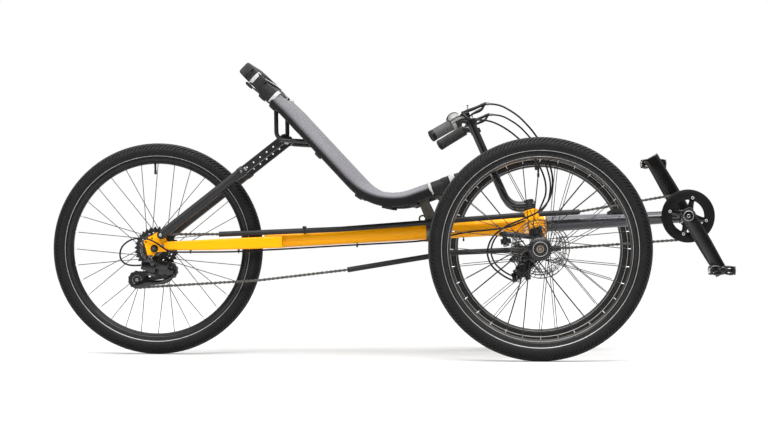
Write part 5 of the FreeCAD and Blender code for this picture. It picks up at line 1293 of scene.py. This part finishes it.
# spider arms: tapered, with the ring bolts
for i in range(4):
    a = 75.7 + 90 * i
    R = rotY(a)
    out = [(14, 12), (28, 8.6), (40, 7.2), (47, 8.0), *[(52 + 8.4 * math.cos(t), 8.4 * math.sin(t)) for t in (1.0, 0.5, 0, -0.5, -1.0)], (47, -8.0), (40, -7.2), (28, -8.6), (14, -12)]
    p.add(prism([[(x, z) for x, z in out]], -53.7, -48.6, BB, R, 0.9), 0)
    tip = BB + R @ Vector((52, 0, 0))
    p.add(lathe([(4.6, 0), (4.6, 0.9), (4.0, 1.5), (2.3, 1.6), (2.0, 0.5), (0, 0.4)], P(tip.x, -57.6, tip.z), -Y, 24), 4)
    p.add(lathe([(2.1, 0.3), (2.0, 0.75), (0, 0.7)], P(tip.x, -57.6, tip.z), -Y, 6), 2)
    p.add(cyl(P(tip.x, -58.0, tip.z), P(tip.x, -44.6, tip.z), 4.0, 18), 2)
p.make("crank_set", [POLBLACK, SILVER, DARKSTEEL, NIPPLE, PALE], "cranks", "black_metal", 34, ["crank_arms"])

# chainring with teeth, and the guard disc
p = Piece()
outer = sprocket(32, 64.79 - 3.95, 64.79 + 3.3, PI / 32 * 1.0)
p.add(prism([outer, circle2(0, 0, 45.5, 60)], -45.1, -41.9, BB), 0)
p.add(ring(BB - Y * 45.2, Y, 50.5, 0.9, 80, 6), 0)
p.make("chainring_toothed", [RING, DARKSTEEL], "cranks", "black_metal", 30, ["chainring"])
p = Piece()
win = circle2(0, 0, 46.0, 72)
prof = [(47.0, 53.9), (46.6, 55.2), (47.4, 57.0), (49.0, 57.4), (72.8, 57.4), (74.4, 56.6), (74.7, 55.6), (74.4, 54.4), (73.0, 53.9)]
p.add(lathe(prof, BB, -Y, 120, closed=True), 0)
p.add(ring(BB - Y * 57.2, Y, 66.0, 0.5, 100, 6), 0)
for i in range(4):
    R = rotY(75.7 + 90 * i)
    for s in (-1, 1):
        o = BB + R @ Vector((49.5, 0, 12.5 * s))
        p.add(cyl(P(o.x, -54.2, o.z), P(o.x, -57.3, o.z), 4.6, 16, 0.6), 0)
p.make("chain_guard_disc", [GUARD], "cranks", "black_metal", 30, ["chain_guard"])


# ------------------------------------------------------------------ pedals
def pedal(c, sy):
    p = Piece()
    y0 = sy * 10.0
    w, L, T = 92.0, 74.0, 24.0
    mid = c + Y * (y0 + sy * w / 2)
    for s in (-1, 1):
        # toothed fore and aft rails
        n = 12
        base = []
        for i in range(n):
            a0 = -w / 2 + 7 + (w - 14) * i / n
            a1 = -w / 2 + 7 + (w - 14) * (i + 0.5) / n
            a2 = -w / 2 + 7 + (w - 14) * (i + 0.55) / n
            a3 = -w / 2 + 7 + (w - 14) * (i + 0.98) / n
            base += [(a0, 9.0), (a0 + 0.4, 11.6), (a1, 11.6), (a2, 9.0), (a3, 9.0)]
        top = [(-w / 2 + 1, 3.0), (-w / 2 + 4, 8.0)] + base + [(w / 2 - 4, 8.0), (w / 2 - 1, 3.0)]
        loop = top + [(a, -b) for a, b in reversed(top)]
        rz = Matrix.Rotation(PI / 2, 3, "Z")
        p.add(prism([loop], -1.8, 1.8, mid + X * (s * (L / 2 - 4.0)), rz), 0, True)
        p.add(block(mid + X * (s * (L / 2 - 7.5)), (5.0, w - 20, 11.0), None, 1.4), 0)
        # reflectors
        p.add(block(mid + X * (s * (L / 2 - 1.6)), (3.0, 46, 14.5), None, 0.8), 1)
    for s in (-1, 1):
        half = [(0, 9.0), (6, 9.4), (10, 11.6), (16, 12.6), (24, 12.4), (30, 10.8), (33.5, 7.0), (34.4, 2.0), (33.8, -4.0), (31, -9.6), (25, -12.6), (17, -12.8), (11, -10.4), (7, -9.2), (0, -9.0)]
        lp = half + [(-a, b) for a, b in reversed(half[1:-1])]
        win = [(12.5, 5.8), (17, 8.0), (24, 7.8), (28.4, 5.0), (29.4, 0.0), (28.0, -5.0), (23, -7.8), (17, -7.8), (12.5, -5.4), (11.4, 0.0)]
        p.add(prism([lp, win, [(-a, b) for a, b in reversed(win)]], -3.2, 3.2, mid + Y * (s * (w / 2 - 3.4)), None, 0.9), 0)
        # painted highlight: thin nickel lines along the end plates' upper edges stand in for the light those edges
        # catch
        for q in (-1, 1):
            p.add(tube([mid + Y * (s * (w / 2 - 1.0)) + P(q * a, 0, b) for a, b in half[2:7]], 0.9, 6), 3)
    p.add(lathe([(0, -w / 2 + 1), (8.6, -w / 2 + 1), (11.0, -w / 2 + 6), (9.8, -w / 6), (9.8, w / 6), (11.0, w / 2 - 6), (8.6, w / 2 - 1), (0, w / 2 - 1)], mid, Y, 32), 0)
    for s in (-22, 0, 22):
        p.add(block(mid + Y * s, (L - 22, 4.0, 9.0), None, 1.0), 0)
    p.add(lathe([(0, -6.0), (6.9, -6.0), (6.9, 5.0), (8.4, 5.4), (8.4, 9.6), (7.0, 10.4), (6.6, 12.5)], c, Y * sy, 28), 2)
    p.add(cyl(c + Y * (sy * 4.2), c + Y * (sy * 8.6), 8.9, 6, 0.6), 2)
    p.add(lathe([(7.6, 0), (7.2, 1.4), (3.4, 1.8), (3.0, 0.8), (0, 0.8)], mid + Y * (sy * (w / 2 - 1.6)), Y * sy, 28), 0)
    return p


pedal(P(END_R.x, -83, END_R.z), -1).make("right_pedal_platform", [POLBLACK, LENS, DARKSTEEL, NIPPLE], "right_pedal", "black_plastic", 32, ["right_pedal"])
pedal(P(END_L.x, 83, END_L.z), 1).make("left_pedal_platform", [POLBLACK, LENS, DARKSTEEL, NIPPLE], "left_pedal", "black_plastic", 32, ["left_pedal"])

# ------------------------------------------------------------------ chain
CYY = -43.5
DER_U, DER_L = (-1049.0, 238.0), (-1140.0, 212.0)
UPPER = [(104.0, 403.5), (-48.0, 395.5), (-300.0, 375.5), (-560.0, 355.5), (-904.0, 341.3)]
LOWER = [(-791.0, 211.0), (-539.0, 241.0), (-250.0, 289.0), (-22.0, 299.0), (84.0, 303.0)]
STOPS = [(BBX, BBZ, 64.79, 1)] + [(x, z, 0.0, 0) for x, z in UPPER] + [(RX, AZ, 40.59, 1), (*DER_U, 22.54, -1), (*DER_L, 22.54, 1)] + [(x, z, 0.0, 0) for x, z in LOWER]


def tangent(a, b):
    ax, az, ar, s1 = a
    bx, bz, br, s2 = b
    dx, dz = bx - ax, bz - az
    d = math.hypot(dx, dz)
    k = (s1 * ar - s2 * br) / d
    th = math.atan2(dz, dx) - math.asin(max(-1, min(1, -k)))
    ux, uz = math.cos(th), math.sin(th)
    nx, nz = -uz, ux
    return (ax - nx * s1 * ar, az - nz * s1 * ar), (bx - nx * s2 * br, bz - nz * s2 * br)


N = len(STOPS)
RUNS = [tangent(STOPS[i], STOPS[(i + 1) % N]) for i in range(N)]
loop = []
for i in range(N):
    x, z, r, s = STOPS[i]
    inn, out = RUNS[i - 1][1], RUNS[i][0]
    if r > 0:
        a0, a1 = math.atan2(inn[1] - z, inn[0] - x), math.atan2(out[1] - z, out[0] - x)
        if s > 0:
            while a1 <= a0:
                a1 += 2 * PI
        else:
            while a1 >= a0:
                a1 -= 2 * PI
        m = max(8, int(abs(a1 - a0) * r / 1.5))
        loop += [(x + r * math.cos(a0 + (a1 - a0) * k / m), z + r * math.sin(a0 + (a1 - a0) * k / m)) for k in range(m + 1)]
    else:
        loop.append((x, z))
loop.append(loop[0])
cum = [0.0]
for a, b in zip(loop, loop[1:]):
    cum.append(cum[-1] + math.hypot(b[0] - a[0], b[1] - a[1]))
links = 2 * int(round(cum[-1] / 12.7 / 2))
pitch = cum[-1] / links


def on_loop(s):
    s %= cum[-1]
    lo, hi = 0, len(cum) - 1
    while hi - lo > 1:
        mid = (lo + hi) // 2
        if cum[mid] <= s:
            lo = mid
        else:
            hi = mid
    f = (s - cum[lo]) / max(1e-9, cum[lo + 1] - cum[lo])
    return Vector((loop[lo][0] + (loop[lo + 1][0] - loop[lo][0]) * f, CYY, loop[lo][1] + (loop[lo + 1][1] - loop[lo][1]) * f))


p = Piece()
pins = [on_loop(i * pitch) for i in range(links)]
for i in range(links):
    a, b = pins[i], pins[(i + 1) % links]
    d = (b - a)
    L = d.length
    d.normalize()
    u = Vector((-d.z, 0, d.x))
    inner = i % 2
    h = 4.15
    ol = []
    for k in range(6):
        t = PI / 2 + PI * k / 5
        ol.append((math.cos(t) * h, math.sin(t) * h))
    ol.append((L * 0.5, -h * 0.62))
    for k in range(6):
        t = -PI / 2 + PI * k / 5
        ol.append((L + math.cos(t) * h, math.sin(t) * h))
    ol.append((L * 0.5, h * 0.62))
    for s in (-1, 1):
        y0 = s * (1.55 if inner else 2.6)
        y1 = s * (2.5 if inner else 3.5)
        n = len(ol)
        vv = [a + d * q[0] + u * q[1] + Y * y for y in (y0, y1) for q in ol]
        ff = [tuple(range(n)), tuple(range(2 * n - 1, n - 1, -1))] + [(k, (k + 1) % n, n + (k + 1) % n, n + k) for k in range(n)]
        p.add((vv, ff), 0, False)
    v8, f8 = lathe([(0, -3.9), (1.8, -3.9), (1.8, 3.9), (0, 3.9)], a, Y, 8)
    p.add((v8, f8), 1)
    p.add(lathe([(3.85, -1.5), (3.85, 1.5)], a, Y, 10), 0)
p.make("chain", [CHAIN, DARKSTEEL], "frame", "chain_steel", 35, ["chain_upper", "chain_lower", "chain_wraps"])

# ------------------------------------------------------------------ cassette
COGS = [(30, -28.5), (28, -33.5), (24, -38.5), (20, -43.5), (17, -48.5), (14, -53.5), (12, -58.5)]
p = Piece()
for n_t, y in COGS:
    pr = 12.7 / 2 / math.sin(PI / n_t)
    body_r = pr - 3.9
    out = sprocket(n_t, body_r, pr + 2.6, PI / 2 + 0.1 * n_t)
    holes = [circle2(0, 0, 19.0, 40)]
    if body_r > 36:
        k = 8
        for i in range(k):
            a0, a1 = 360.0 / k * i + 6, 360.0 / k * (i + 1) - 6
            ro, ri = body_r - 5.5, 26.0
            lp = arc2(0, 0, ro, a0, a1, 7) + arc2(0, 0, ri, a1 - 3, a0 + 3, 5)
            holes.append(lp)
    p.add(prism([out] + holes, y - 0.95, y + 0.95, CB), 0)
    if y > -58:
        p.add(lathe([(18.9, -y - 0.1), (21.6, -y - 0.1), (21.6, -y + 5.1), (18.9, -y + 5.1)], CB, -Y, 36, closed=True), 1)
p.add(lathe([(17.0, 59.3), (20.5, 59.3), (20.5, 60.6), (16.5, 61.2), (13.0, 60.8), (12.6, 59.0)], CB, -Y, 40), 1)
for k in range(12):
    a = 2 * PI * k / 12
    p.add(block(CB + P(14.8 * math.cos(a), -60.9, 14.8 * math.sin(a)), (2.2, 1.8, 2.2), rotY(math.degrees(a)), 0.4, 1), 1)
p.make("cassette_cogs", [COG, DARKSTEEL], "rear_wheel", "steel", 30, ["cassette"])

# ------------------------------------------------------------------ rear derailleur
p = Piece()
hang = P(RX - 11, -79.5, AZ - 29)
du, dl = P(DER_U[0], -43.5, DER_U[1]), P(DER_L[0], -43.5, DER_L[1])
# upper knuckle on the hanger
p.add(lathe([(0, 0), (9.5, 0), (11.6, 1.4), (11.8, 8.0), (10.4, 12.0), (7.0, 13.4), (0, 13.6)], hang + Y * 3.5, -Y, 32), 0)
p.add(hexbolt(hang - Y * 9.6, -Y, 6.2, 2.4, False), 1)
# parallelogram links
for dy, w, z in ((-13.0, 7.0, 4.0), (-1.0, 6.0, -6.0)):
    a, b = hang + P(6, dy + 4, -4 + z * 0.4), P(-1064, -58 + dy * 0.3, 246 + z)
    mid = (a + b) / 2
    ang = math.degrees(math.atan2(b.z - a.z, b.x - a.x))
    Rz = Matrix.Rotation(math.atan2(b.y - a.y, b.x - a.x), 3, "Z")
    p.add(block(mid, ((b - a).length + 12, w, 15), Rz @ rotY(ang), 2.6, 3), 0)
    for e in (a, b):
        p.add(cyl(e - P(0, w / 2 + 1.2, 0), e + P(0, w / 2 + 1.2, 0), 3.2, 14), 1)
# lower knuckle round the upper pulley
p.add(lathe([(0, 0), (12.0, 0), (14.6, 1.6), (15.0, 8.0), (13.0, 11.6), (8.0, 13.0), (4.4, 13.0), (4.0, 11.5), (0, 11.5)], P(DER_U[0], -51.8, DER_U[1]), -Y, 36), 0)
p.add(block(P(-1078, -66, 256), (62, 14, 27), rotY(-12), 5.0, 3), 0)
p.add(block(P(-1103, -70, 249), (42, 15, 26), rotY(-16), 4.0, 3), 0)
p.add(block(P(-1062, -61, 243), (34, 12, 30), rotY(20), 5.0, 3), 0)
p.add(block(P(-1090, -76.5, 262), (34, 6, 8), rotY(-16), 2.0), 2)
# barrel adjuster and pinch bolt
p.add(lathe([(0, 0), (4.6, 0), (5.0, 1.0), (5.0, 8.0), (3.6, 9.4), (3.2, 12.5), (0, 12.5)], P(-1112, -71.5, 254.4), P(-1, -0.02, -0.05), 14), 1)
p.add(hexbolt(P(-1092, -80.2, 258), -Y, 4.2, 3.4), 1)
for dx in (-3.5, 3.5):
    p.add(cyl(P(-1104 + dx, -76, 262), P(-1104 + dx, -83, 265), 1.8, 10), 1)
p.make("derailleur_mech", [POLBLACK, DARKSTEEL, GUARD], "frame", "black_metal", 34, ["derailleur_body"])

p = Piece()
ax = (dl - du).normalized()
Lc = (dl - du).length
ang = math.degrees(math.atan2(ax.z, ax.x))
Rc = rotY(ang)
for y, t, ru, rl in ((-50.6, 1.1, 22.5, 24.2), (-36.6, 1.1, 12.5, 12.5)):
    lp = arc2(0, 0, ru, 60, 300, 20) + [(Lc * 0.5, -min(ru, 17.0) * 0.9)] + arc2(Lc, 0, rl, -120, 120, 20) + [(Lc * 0.5, min(ru, 17.0) * 0.9)]
    holes = [[(Lc * 0.44, -7.5), (Lc * 0.64, -9.5), (Lc * 0.68, -2.0), (Lc * 0.66, 7.5), (Lc * 0.42, 8.5)]] if ru > 20 else [circle2(Lc * 0.36, -0.8, 3.4, 14), circle2(Lc * 0.62, -0.8, 3.4, 14)]
    # outline runs clockwise from the top of the upper end
    p.add(prism([lp] + holes, y + 43.5 - t, y + 43.5 + t, du, Rc), 0)
for c in (du, dl):
    out = sprocket(11, 22.54 - 3.9, 22.54 + 1.5, 0.3)
    p.add(prism([out, circle2(0, 0, 4.2, 18)] + [circle2(11.5 * math.cos(2 * PI * k / 5), 11.5 * math.sin(2 * PI * k / 5), 3.3, 12) for k in range(5)], -1.4, 1.4, c), 1)
    p.add(lathe([(8.2, 1.5), (7.6, 2.6), (3.0, 2.8), (0, 2.8)], c, -Y, 24), 2)
    p.add(cyl(P(c.x, -52.6, c.z), P(c.x, -34.6, c.z), 3.6, 14), 2)
    p.add(hexbolt(P(c.x, -51.8, c.z), -Y, 4.6, 2.0, False), 2)
    p.add(ring(P(c.x, -51.8, c.z), Y, 12.6, 0.8, 40, 6), 2)
p.make("derailleur_cage_pulleys", [POLBLACK, GUARD, NIPPLE], "frame", "black_metal", 32, ["derailleur_cage"])

cage_px = [(131.5, 287.5), (138, 288.6), (146, 286.4), (155, 285.2), (163, 284.4), (169.5, 281.6), (173.6, 276.4), (174.6, 270.6), (171.4, 268.8), (169.8, 273.4), (166.6, 277.6), (161, 280.0), (153, 280.6), (147, 279.4), (144.5, 275.6), (141, 280.5), (135, 283)]
p = Piece()
p.add(prism([[(-28.1 + (u + 0.6 - 530) * 2.823, 325 + (240 - w) * 2.823) for u, w in cage_px]], -53.4, -51.9, P(0, 0, 0), None, 0.5), 0)
p.make("derailleur_cage_rib", [POLBLACK], "frame", "black_metal", 30)

# ------------------------------------------------------------------ seat
RAIL = [(-813.0, 796.5), (-697.0, 685.4), (-445.7, 416.5), (-216.0, 496.5)]
rail_pts = fillet([Vector((x, 0, z)) for x, z in RAIL], [300.0, 145.0], 5.0)


def station_x(x):
    return min(range(len(rail_pts)), key=lambda i: abs(rail_pts[i].x - x))


def rail_frame(i):
    a, b = rail_pts[max(i - 1, 0)], rail_pts[min(i + 1, len(rail_pts) - 1)]
    t = (b - a).normalized()
    return rail_pts[i], t, Vector((-t.z, 0, t.x))


SY = 200.0
i_top = 13                       # the sheet starts past the top bend
i_end = len(rail_pts) - 11
i_a, i_b = station_x(-733.5), station_x(-303.0)


def wob(x, y, z, s=0.02):
    return noise.noise(Vector((x * s, y * s, z * s)))


SR = 18.9
UPW, DNW = 0.79, 1.16          # the fabric is tight over the rail and hangs a little under it
cross = []                       # cross section: (side, angle) round each rail, and the span between


def sheet_section():
    sec = []
    for k in range(17):          # right sleeve, from the hem inside, under, round and up
        sec.append(("R", math.radians(-152 + (152 + 90) * k / 16)))
    m = 26
    for k in range(1, m):
        sec.append(("S", k / m))
    for k in range(17):
        sec.append(("L", math.radians(90 - (152 + 90) * k / 16)))
    return sec


def seat_cover(name, i0, i1, mats, puff=0.0, sag=1.0, pleat=0.0):
    """Cover from rail station i0 to i1: sleeves round both rails and the sheet between them."""
    sec = sheet_section()
    rows, along = [], 0.0
    uvrow = []
    for i in range(i0, i1 + 1):
        c, t, n = rail_frame(i)
        f = (i - i0) / (i1 - i0)
        if i > i0:
            along += (rail_pts[i] - rail_pts[i - 1]).length
        edge = min(1.0, (i - i0) / 3.0, (i1 - i) / 3.0)
        row, us, u = [], [], 0.0
        prev = None
        for kind, a in sec:
            if kind in "RL":
                out = -1 if kind == "R" else 1
                r = SR + puff * edge + 0.35 * wob(c.x, a * 40, c.z, 0.05)
                if math.radians(9) < a < math.radians(81):
                    r *= math.cos(math.radians(36)) / math.cos(a - math.radians(45))
                fold = pleat * math.sin(along * 2 * PI / 7.5 + 1.3 * math.sin(a)) * max(0.0, math.cos(a - 1.0))
                bend = max(0.0, min(1.0, (c.x + 600) / 150.0)) * max(0.0, min(1.0, (-330 - c.x) / 60.0))
                r += fold * bend * 0.8
                q = math.sin(a) * r * (UPW if a > 0 else DNW)
                p = c + Y * (out * SY) + Y * (out * math.cos(a) * r) + n * q
            else:
                y = -SY + 2 * SY * a
                dip = 1 - (2 * a - 1) ** 2
                s = sag * (6.5 * dip + 1.4 * dip * math.sin(PI * f)) + 0.5 * wob(c.x, y, c.z, 0.012) * dip
                p = c + Y * y + n * (SR * UPW - s)
            if prev is not None:
                u += (p - prev).length
            prev = p
            row.append(p)
            us.append(u)
        rows.append(row)
        uvrow.append((us, along))
    w = len(sec)
    vv = [q for r in rows for q in r]
    ff = []
    for i in range(len(rows) - 1):
        for k in range(w - 1):
            ff.append((i * w + k, i * w + k + 1, (i + 1) * w + k + 1, (i + 1) * w + k))
    me = bpy.data.meshes.new(name)
    me.from_pydata([tuple(world(q)) for q in vv], [], ff)
    uv = me.uv_layers.new(name="cloth")
    for lp in me.loops:
        r, k = divmod(lp.vertex_index, w)
        uv.data[lp.index].uv = (uvrow[r][0][k] / 1000.0, uvrow[r][1] / 1000.0)
    for poly in me.polygons:
        poly.use_smooth = True
    for m in mats:
        me.materials.append(m)
    ob = bpy.data.objects.new(name, me)
    bpy.context.scene.collection.objects.link(ob)
    flat = (max(us[-1] for us, _ in uvrow) / 1000.0, along / 1000.0)
    area = 0.0
    for poly in me.polygons:
        area += poly.area
    bpy.context.view_layer.objects.active = ob
    so = ob.modifiers.new("thick", "SOLIDIFY")
    so.thickness = 0.0018
    so.offset = -1
    sub = ob.modifiers.new("sub", "SUBSURF")
    sub.levels = sub.render_levels = 1
    dg = bpy.context.evaluated_depsgraph_get()
    new = bpy.data.meshes.new_from_object(ob.evaluated_get(dg))
    ob.modifiers.clear()
    ob.data = new
    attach(ob, "frame")
    return ob, flat, area


main_cover, flat, area = seat_cover("seat_mesh_cover", i_a, i_b, [MESH], 0.6, 1.0, 0.9)
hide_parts("seat_sling")
head_cover, flat, area = seat_cover("seat_head_cover", i_top, i_a - 1, [NEO], 0.2, 0.4)
nose_cover, flat, area = seat_cover("seat_nose_cover", i_b + 1, i_end, [NEO], 0.2, 0.4)


# foam sleeves over the rounded top and nose of the rails
def foam(name, pts, radii, r, trim, e):
    line = fillet(pts, radii, 6.0)
    line = line[trim:len(line) - trim]
    n = len(line)
    rs = [r * (0.94 if i in (0, n - 1) else 1.0) + 0.25 * wob(q.x, q.y, q.z, 0.03) for i, q in enumerate(line)]
    d0 = (line[1] - line[0]).normalized()
    p = Piece()
    p.add(tube(line, rs, 40, True, Vector((-d0.z, 0, d0.x)), e))
    o = p.make(name, [NEO], "frame", "seat_fabric", 60)
    me = o.data
    uv = me.uv_layers.new(name="cloth")
    for lp in me.loops:
        i, k = divmod(lp.vertex_index, 40)
        uv.data[lp.index].uv = (k / 40 * 2 * PI * r / 1000.0, i * 6.0 / 1000.0)
    return o


t2, b2 = RAIL[0], RAIL[1]
foam("seat_top_foam", [P(b2[0], -SY, b2[1]), P(t2[0], -SY, t2[1]), P(t2[0], SY, t2[1]), P(b2[0], SY, b2[1])], [60, 60], 19.2, 16, 0.36)
t3, b3 = RAIL[3], RAIL[2]
foam("seat_nose_foam", [P(b3[0], -SY, b3[1]), P(t3[0], -SY, t3[1]), P(t3[0], SY, t3[1]), P(b3[0], SY, b3[1])], [60, 60], 18.0, 31, 0.8)

# light bands round the sleeves, hems, buckles and straps under the seat
p = Piece()
for x, half in ((-789.5, 5.2), (-733.5, 5.2), (-303.0, 4.0), (-240.0, 8.0)):
    i = station_x(x)
    c, t, n = rail_frame(i)
    for sy in (-1, 1):
        o = c + Y * (sy * SY)
        r = 20.5
        p.add(lathe([(r - 1.4, -half), (r - 0.1, -half + 0.4), (r + 0.3, -half + 1.8), (r + 0.1, 0.0), (r + 0.3, half - 1.8), (r - 0.1, half - 0.4), (r - 1.4, half)], o, t, 40), 0)
p.make("seat_light_bands", [ELASTIC], "frame", "seat_fabric", 50)

# edge piping along both sides of the main cover, laid on the sleeve
p = Piece()
for sy in (-1, 1):
    for i0, i1, ang in ((i_a + 1, i_b - 1, -152),):
        pts = []
        for i in range(i0, i1 + 1):
            c, t, n = rail_frame(i)
            a = math.radians(ang)
            r = SR + 0.9
            pts.append(c + Y * (sy * SY) + Y * (sy * math.cos(a) * r) + n * (math.sin(a) * r * DNW))
        p.add(tube(pts, 1.1, 6))
p.make("seat_seam_piping", [WEB], "frame", "seat_fabric", 60)

# straps from sleeve to sleeve under the sheet, each with a side buckle
straps = Piece()
buckles = Piece()
suv = []
for x in (-788.0, -752.0, -723.0, -594.6, -488.0, -420.0, -359.0, -293.0):
    i = station_x(x)
    c, t, n = rail_frame(i)
    if n.z < 0:
        n = -n
    drop = SR * DNW + 2.4
    line = [c + Y * y - n * (drop + 5.0 * (1 - (y / 170.0) ** 2) * 0.8) for y in (-170, -120, -60, 0, 60, 120, 170)]
    start = [c - Y * (SY + (SR + 2.0) * 0.35) - n * (SR * DNW + 1.0), c - Y * (SY - 10) - n * (SR * DNW + 2.2)]
    full = start + line + [Vector((q.x, -q.y, q.z)) for q in reversed(start)]
    full = nurbs(full, 5)
    hw, th = 9.5, 0.8
    m = len(full)
    vv, ff = [], []
    for k, q in enumerate(full):
        e = (full[min(k + 1, m - 1)] - full[max(k - 1, 0)]).normalized()
        nn = t.cross(e).normalized()
        for a, b in ((-hw, -th), (hw, -th), (hw, th), (-hw, th)):
            vv.append(q + t * a + nn * b)
    for k in range(m - 1):
        for j in range(4):
            j2 = (j + 1) % 4
            ff.append((k * 4 + j, k * 4 + j2, (k + 1) * 4 + j2, (k + 1) * 4 + j))
    ff += [(0, 1, 2, 3), tuple((m - 1) * 4 + k for k in (3, 2, 1, 0))]
    straps.add((vv, ff), 0, False)
    for sy in (-1, 1):
        o = c + Y * (sy * (SY - 4)) - n * (SR * DNW + 2.2)
        M = Matrix((t, Y, n)).transposed()
        buckles.add(block(o, (22, 26, 5.4), M, 1.6), 0)
        buckles.add(block(o - n * 3.2 + Y * (sy * 4), (17, 9, 3.4), M, 1.2), 0)
        buckles.add(block(o - n * 2.6 - Y * (sy * 9), (23, 3.2, 4.2), M, 1.2), 0)
so = straps.make("seat_straps", [WEB], "frame", "seat_fabric", 40)
me = so.data
uv = me.uv_layers.new(name="cloth")
for lp in me.loops:
    co = me.vertices[lp.vertex_index].co
    uv.data[lp.index].uv = (co.x + co.z, co.y)
buckles.make("seat_buckles", [PLASTIC], "frame", "black_plastic")

# pull loop of thin elastic behind the head cover's light bands
p = Piece()
loop_px = [(-786, 788), (-764, 774), (-741, 760), (-719, 747), (-706, 731), (-695, 713), (-711, 718), (-731, 728), (-752, 742)]
p.add(tube(nurbs([P(x, -SY + 8, z) for x, z in loop_px], 6), 1.1, 8), 0)
p.make("seat_pull_loop", [ELASTIC], "frame", "seat_fabric", 50)

# rail end caps show as small domes at the foam's ends
p = Piece()
for sy in (-1, 1):
    c, t, n = rail_frame(station_x(-797))
    p.add(lathe([(12.9, -2.0), (17.6, -1.6), (18.6, 0.0), (17.6, 1.6), (12.9, 2.0)], c + Y * (sy * SY) + t * -9.0, t, 36), 0)
p.make("seat_foam_end_rings", [PLASTIC], "frame", "black_plastic")

# ------------------------------------------------------------------ stage, light, camera
me = bpy.data.meshes.new("floor")
S = 14.0
me.from_pydata([(-S, -S, 0), (S, -S, 0), (S, S, 0), (-S, S, 0)], [], [(0, 1, 2, 3)])
floor = bpy.data.objects.new("floor", me)
bpy.context.scene.collection.objects.link(floor)
fm = Mat("pale_floor")
v = fm.coords()
fm.colour(fm.ramp(fm.noise(v, 3, 3), [(0.3, (0.62, 0.62, 0.617)), (0.7, (0.64, 0.64, 0.637))]))
fm.rough(fm.ramp(fm.noise(v, 5, 3), [(0.3, 0.55), (0.7, 0.65)]))
fm.put("Specular IOR Level", 0.25)
me.materials.append(fm.m)

# bright ceiling and dark sides light the trike; the camera sees plain white behind it
world_ = bpy.data.worlds.new("studio")
bpy.context.scene.world = world_
world_.use_nodes = True
wt = world_.node_tree
wt.nodes.clear()
coord = wt.nodes.new("ShaderNodeTexCoord")
split = wt.nodes.new("ShaderNodeSeparateXYZ")
ramp = wt.nodes.new("ShaderNodeValToRGB")
soft = wt.nodes.new("ShaderNodeBackground")
plain = wt.nodes.new("ShaderNodeBackground")
path = wt.nodes.new("ShaderNodeLightPath")
pick = wt.nodes.new("ShaderNodeMixShader")
wout = wt.nodes.new("ShaderNodeOutputWorld")
stops = [(0.0, 0.02), (0.20, 0.03), (0.50, 0.52), (0.80, 1.0)]
while len(ramp.color_ramp.elements) < len(stops):
    ramp.color_ramp.elements.new(0.5)
for el, (at, val) in zip(ramp.color_ramp.elements, stops):
    el.position = at
    el.color = (val, val, val, 1.0)
wt.links.new(coord.outputs["Generated"], split.inputs[0])
wt.links.new(split.outputs[2], ramp.inputs[0])
wt.links.new(ramp.outputs[0], soft.inputs[0])
soft.inputs[1].default_value = 1.45
plain.inputs[0].default_value = (1.0, 1.0, 1.0, 1.0)
wt.links.new(path.outputs["Is Camera Ray"], pick.inputs[0])
wt.links.new(soft.outputs[0], pick.inputs[1])
wt.links.new(plain.outputs[0], pick.inputs[2])
wt.links.new(pick.outputs[0], wout.inputs[0])


def area_light(name, loc, target, size, energy):
    l = bpy.data.lights.new(name, "AREA")
    l.shape = "RECTANGLE"
    l.size, l.size_y = size
    l.energy = energy
    o = bpy.data.objects.new(name, l)
    o.location = loc
    o.rotation_euler = (Vector(target) - Vector(loc)).to_track_quat("-Z", "Y").to_euler()
    bpy.context.scene.collection.objects.link(o)
    return o


area_light("front_soft", (-0.3, -3.2, 3.9), (0, 0, 0.35), (4.0, 1.4), 165)
area_light("back_soft", (0.6, 3.2, 3.0), (0, 0, 0.4), (3.6, 1.4), 30)
sky = bpy.data.lights.new("overhead_diffuser", "SUN")
sky.energy = 2.4
sky.angle = math.radians(75)
so_ = bpy.data.objects.new("overhead_diffuser", sky)
so_.rotation_euler = (math.radians(18), 0, 0)
bpy.context.scene.collection.objects.link(so_)

cam = bpy.data.cameras.new("camera")
cam.sensor_width = 36.0
cam.lens = 120.786
cam.clip_end = 100
co = bpy.data.objects.new("camera", cam)
co.location = (FX - 0.0339, -7.3086, 0.3258)
co.rotation_euler = (math.pi / 2 + 0.00919, 0, 0.05567)
bpy.context.scene.collection.objects.link(co)
bpy.context.scene.camera = co
bpy.context.scene.view_settings.view_transform = "Standard"
bpy.context.scene.view_settings.look = "None"
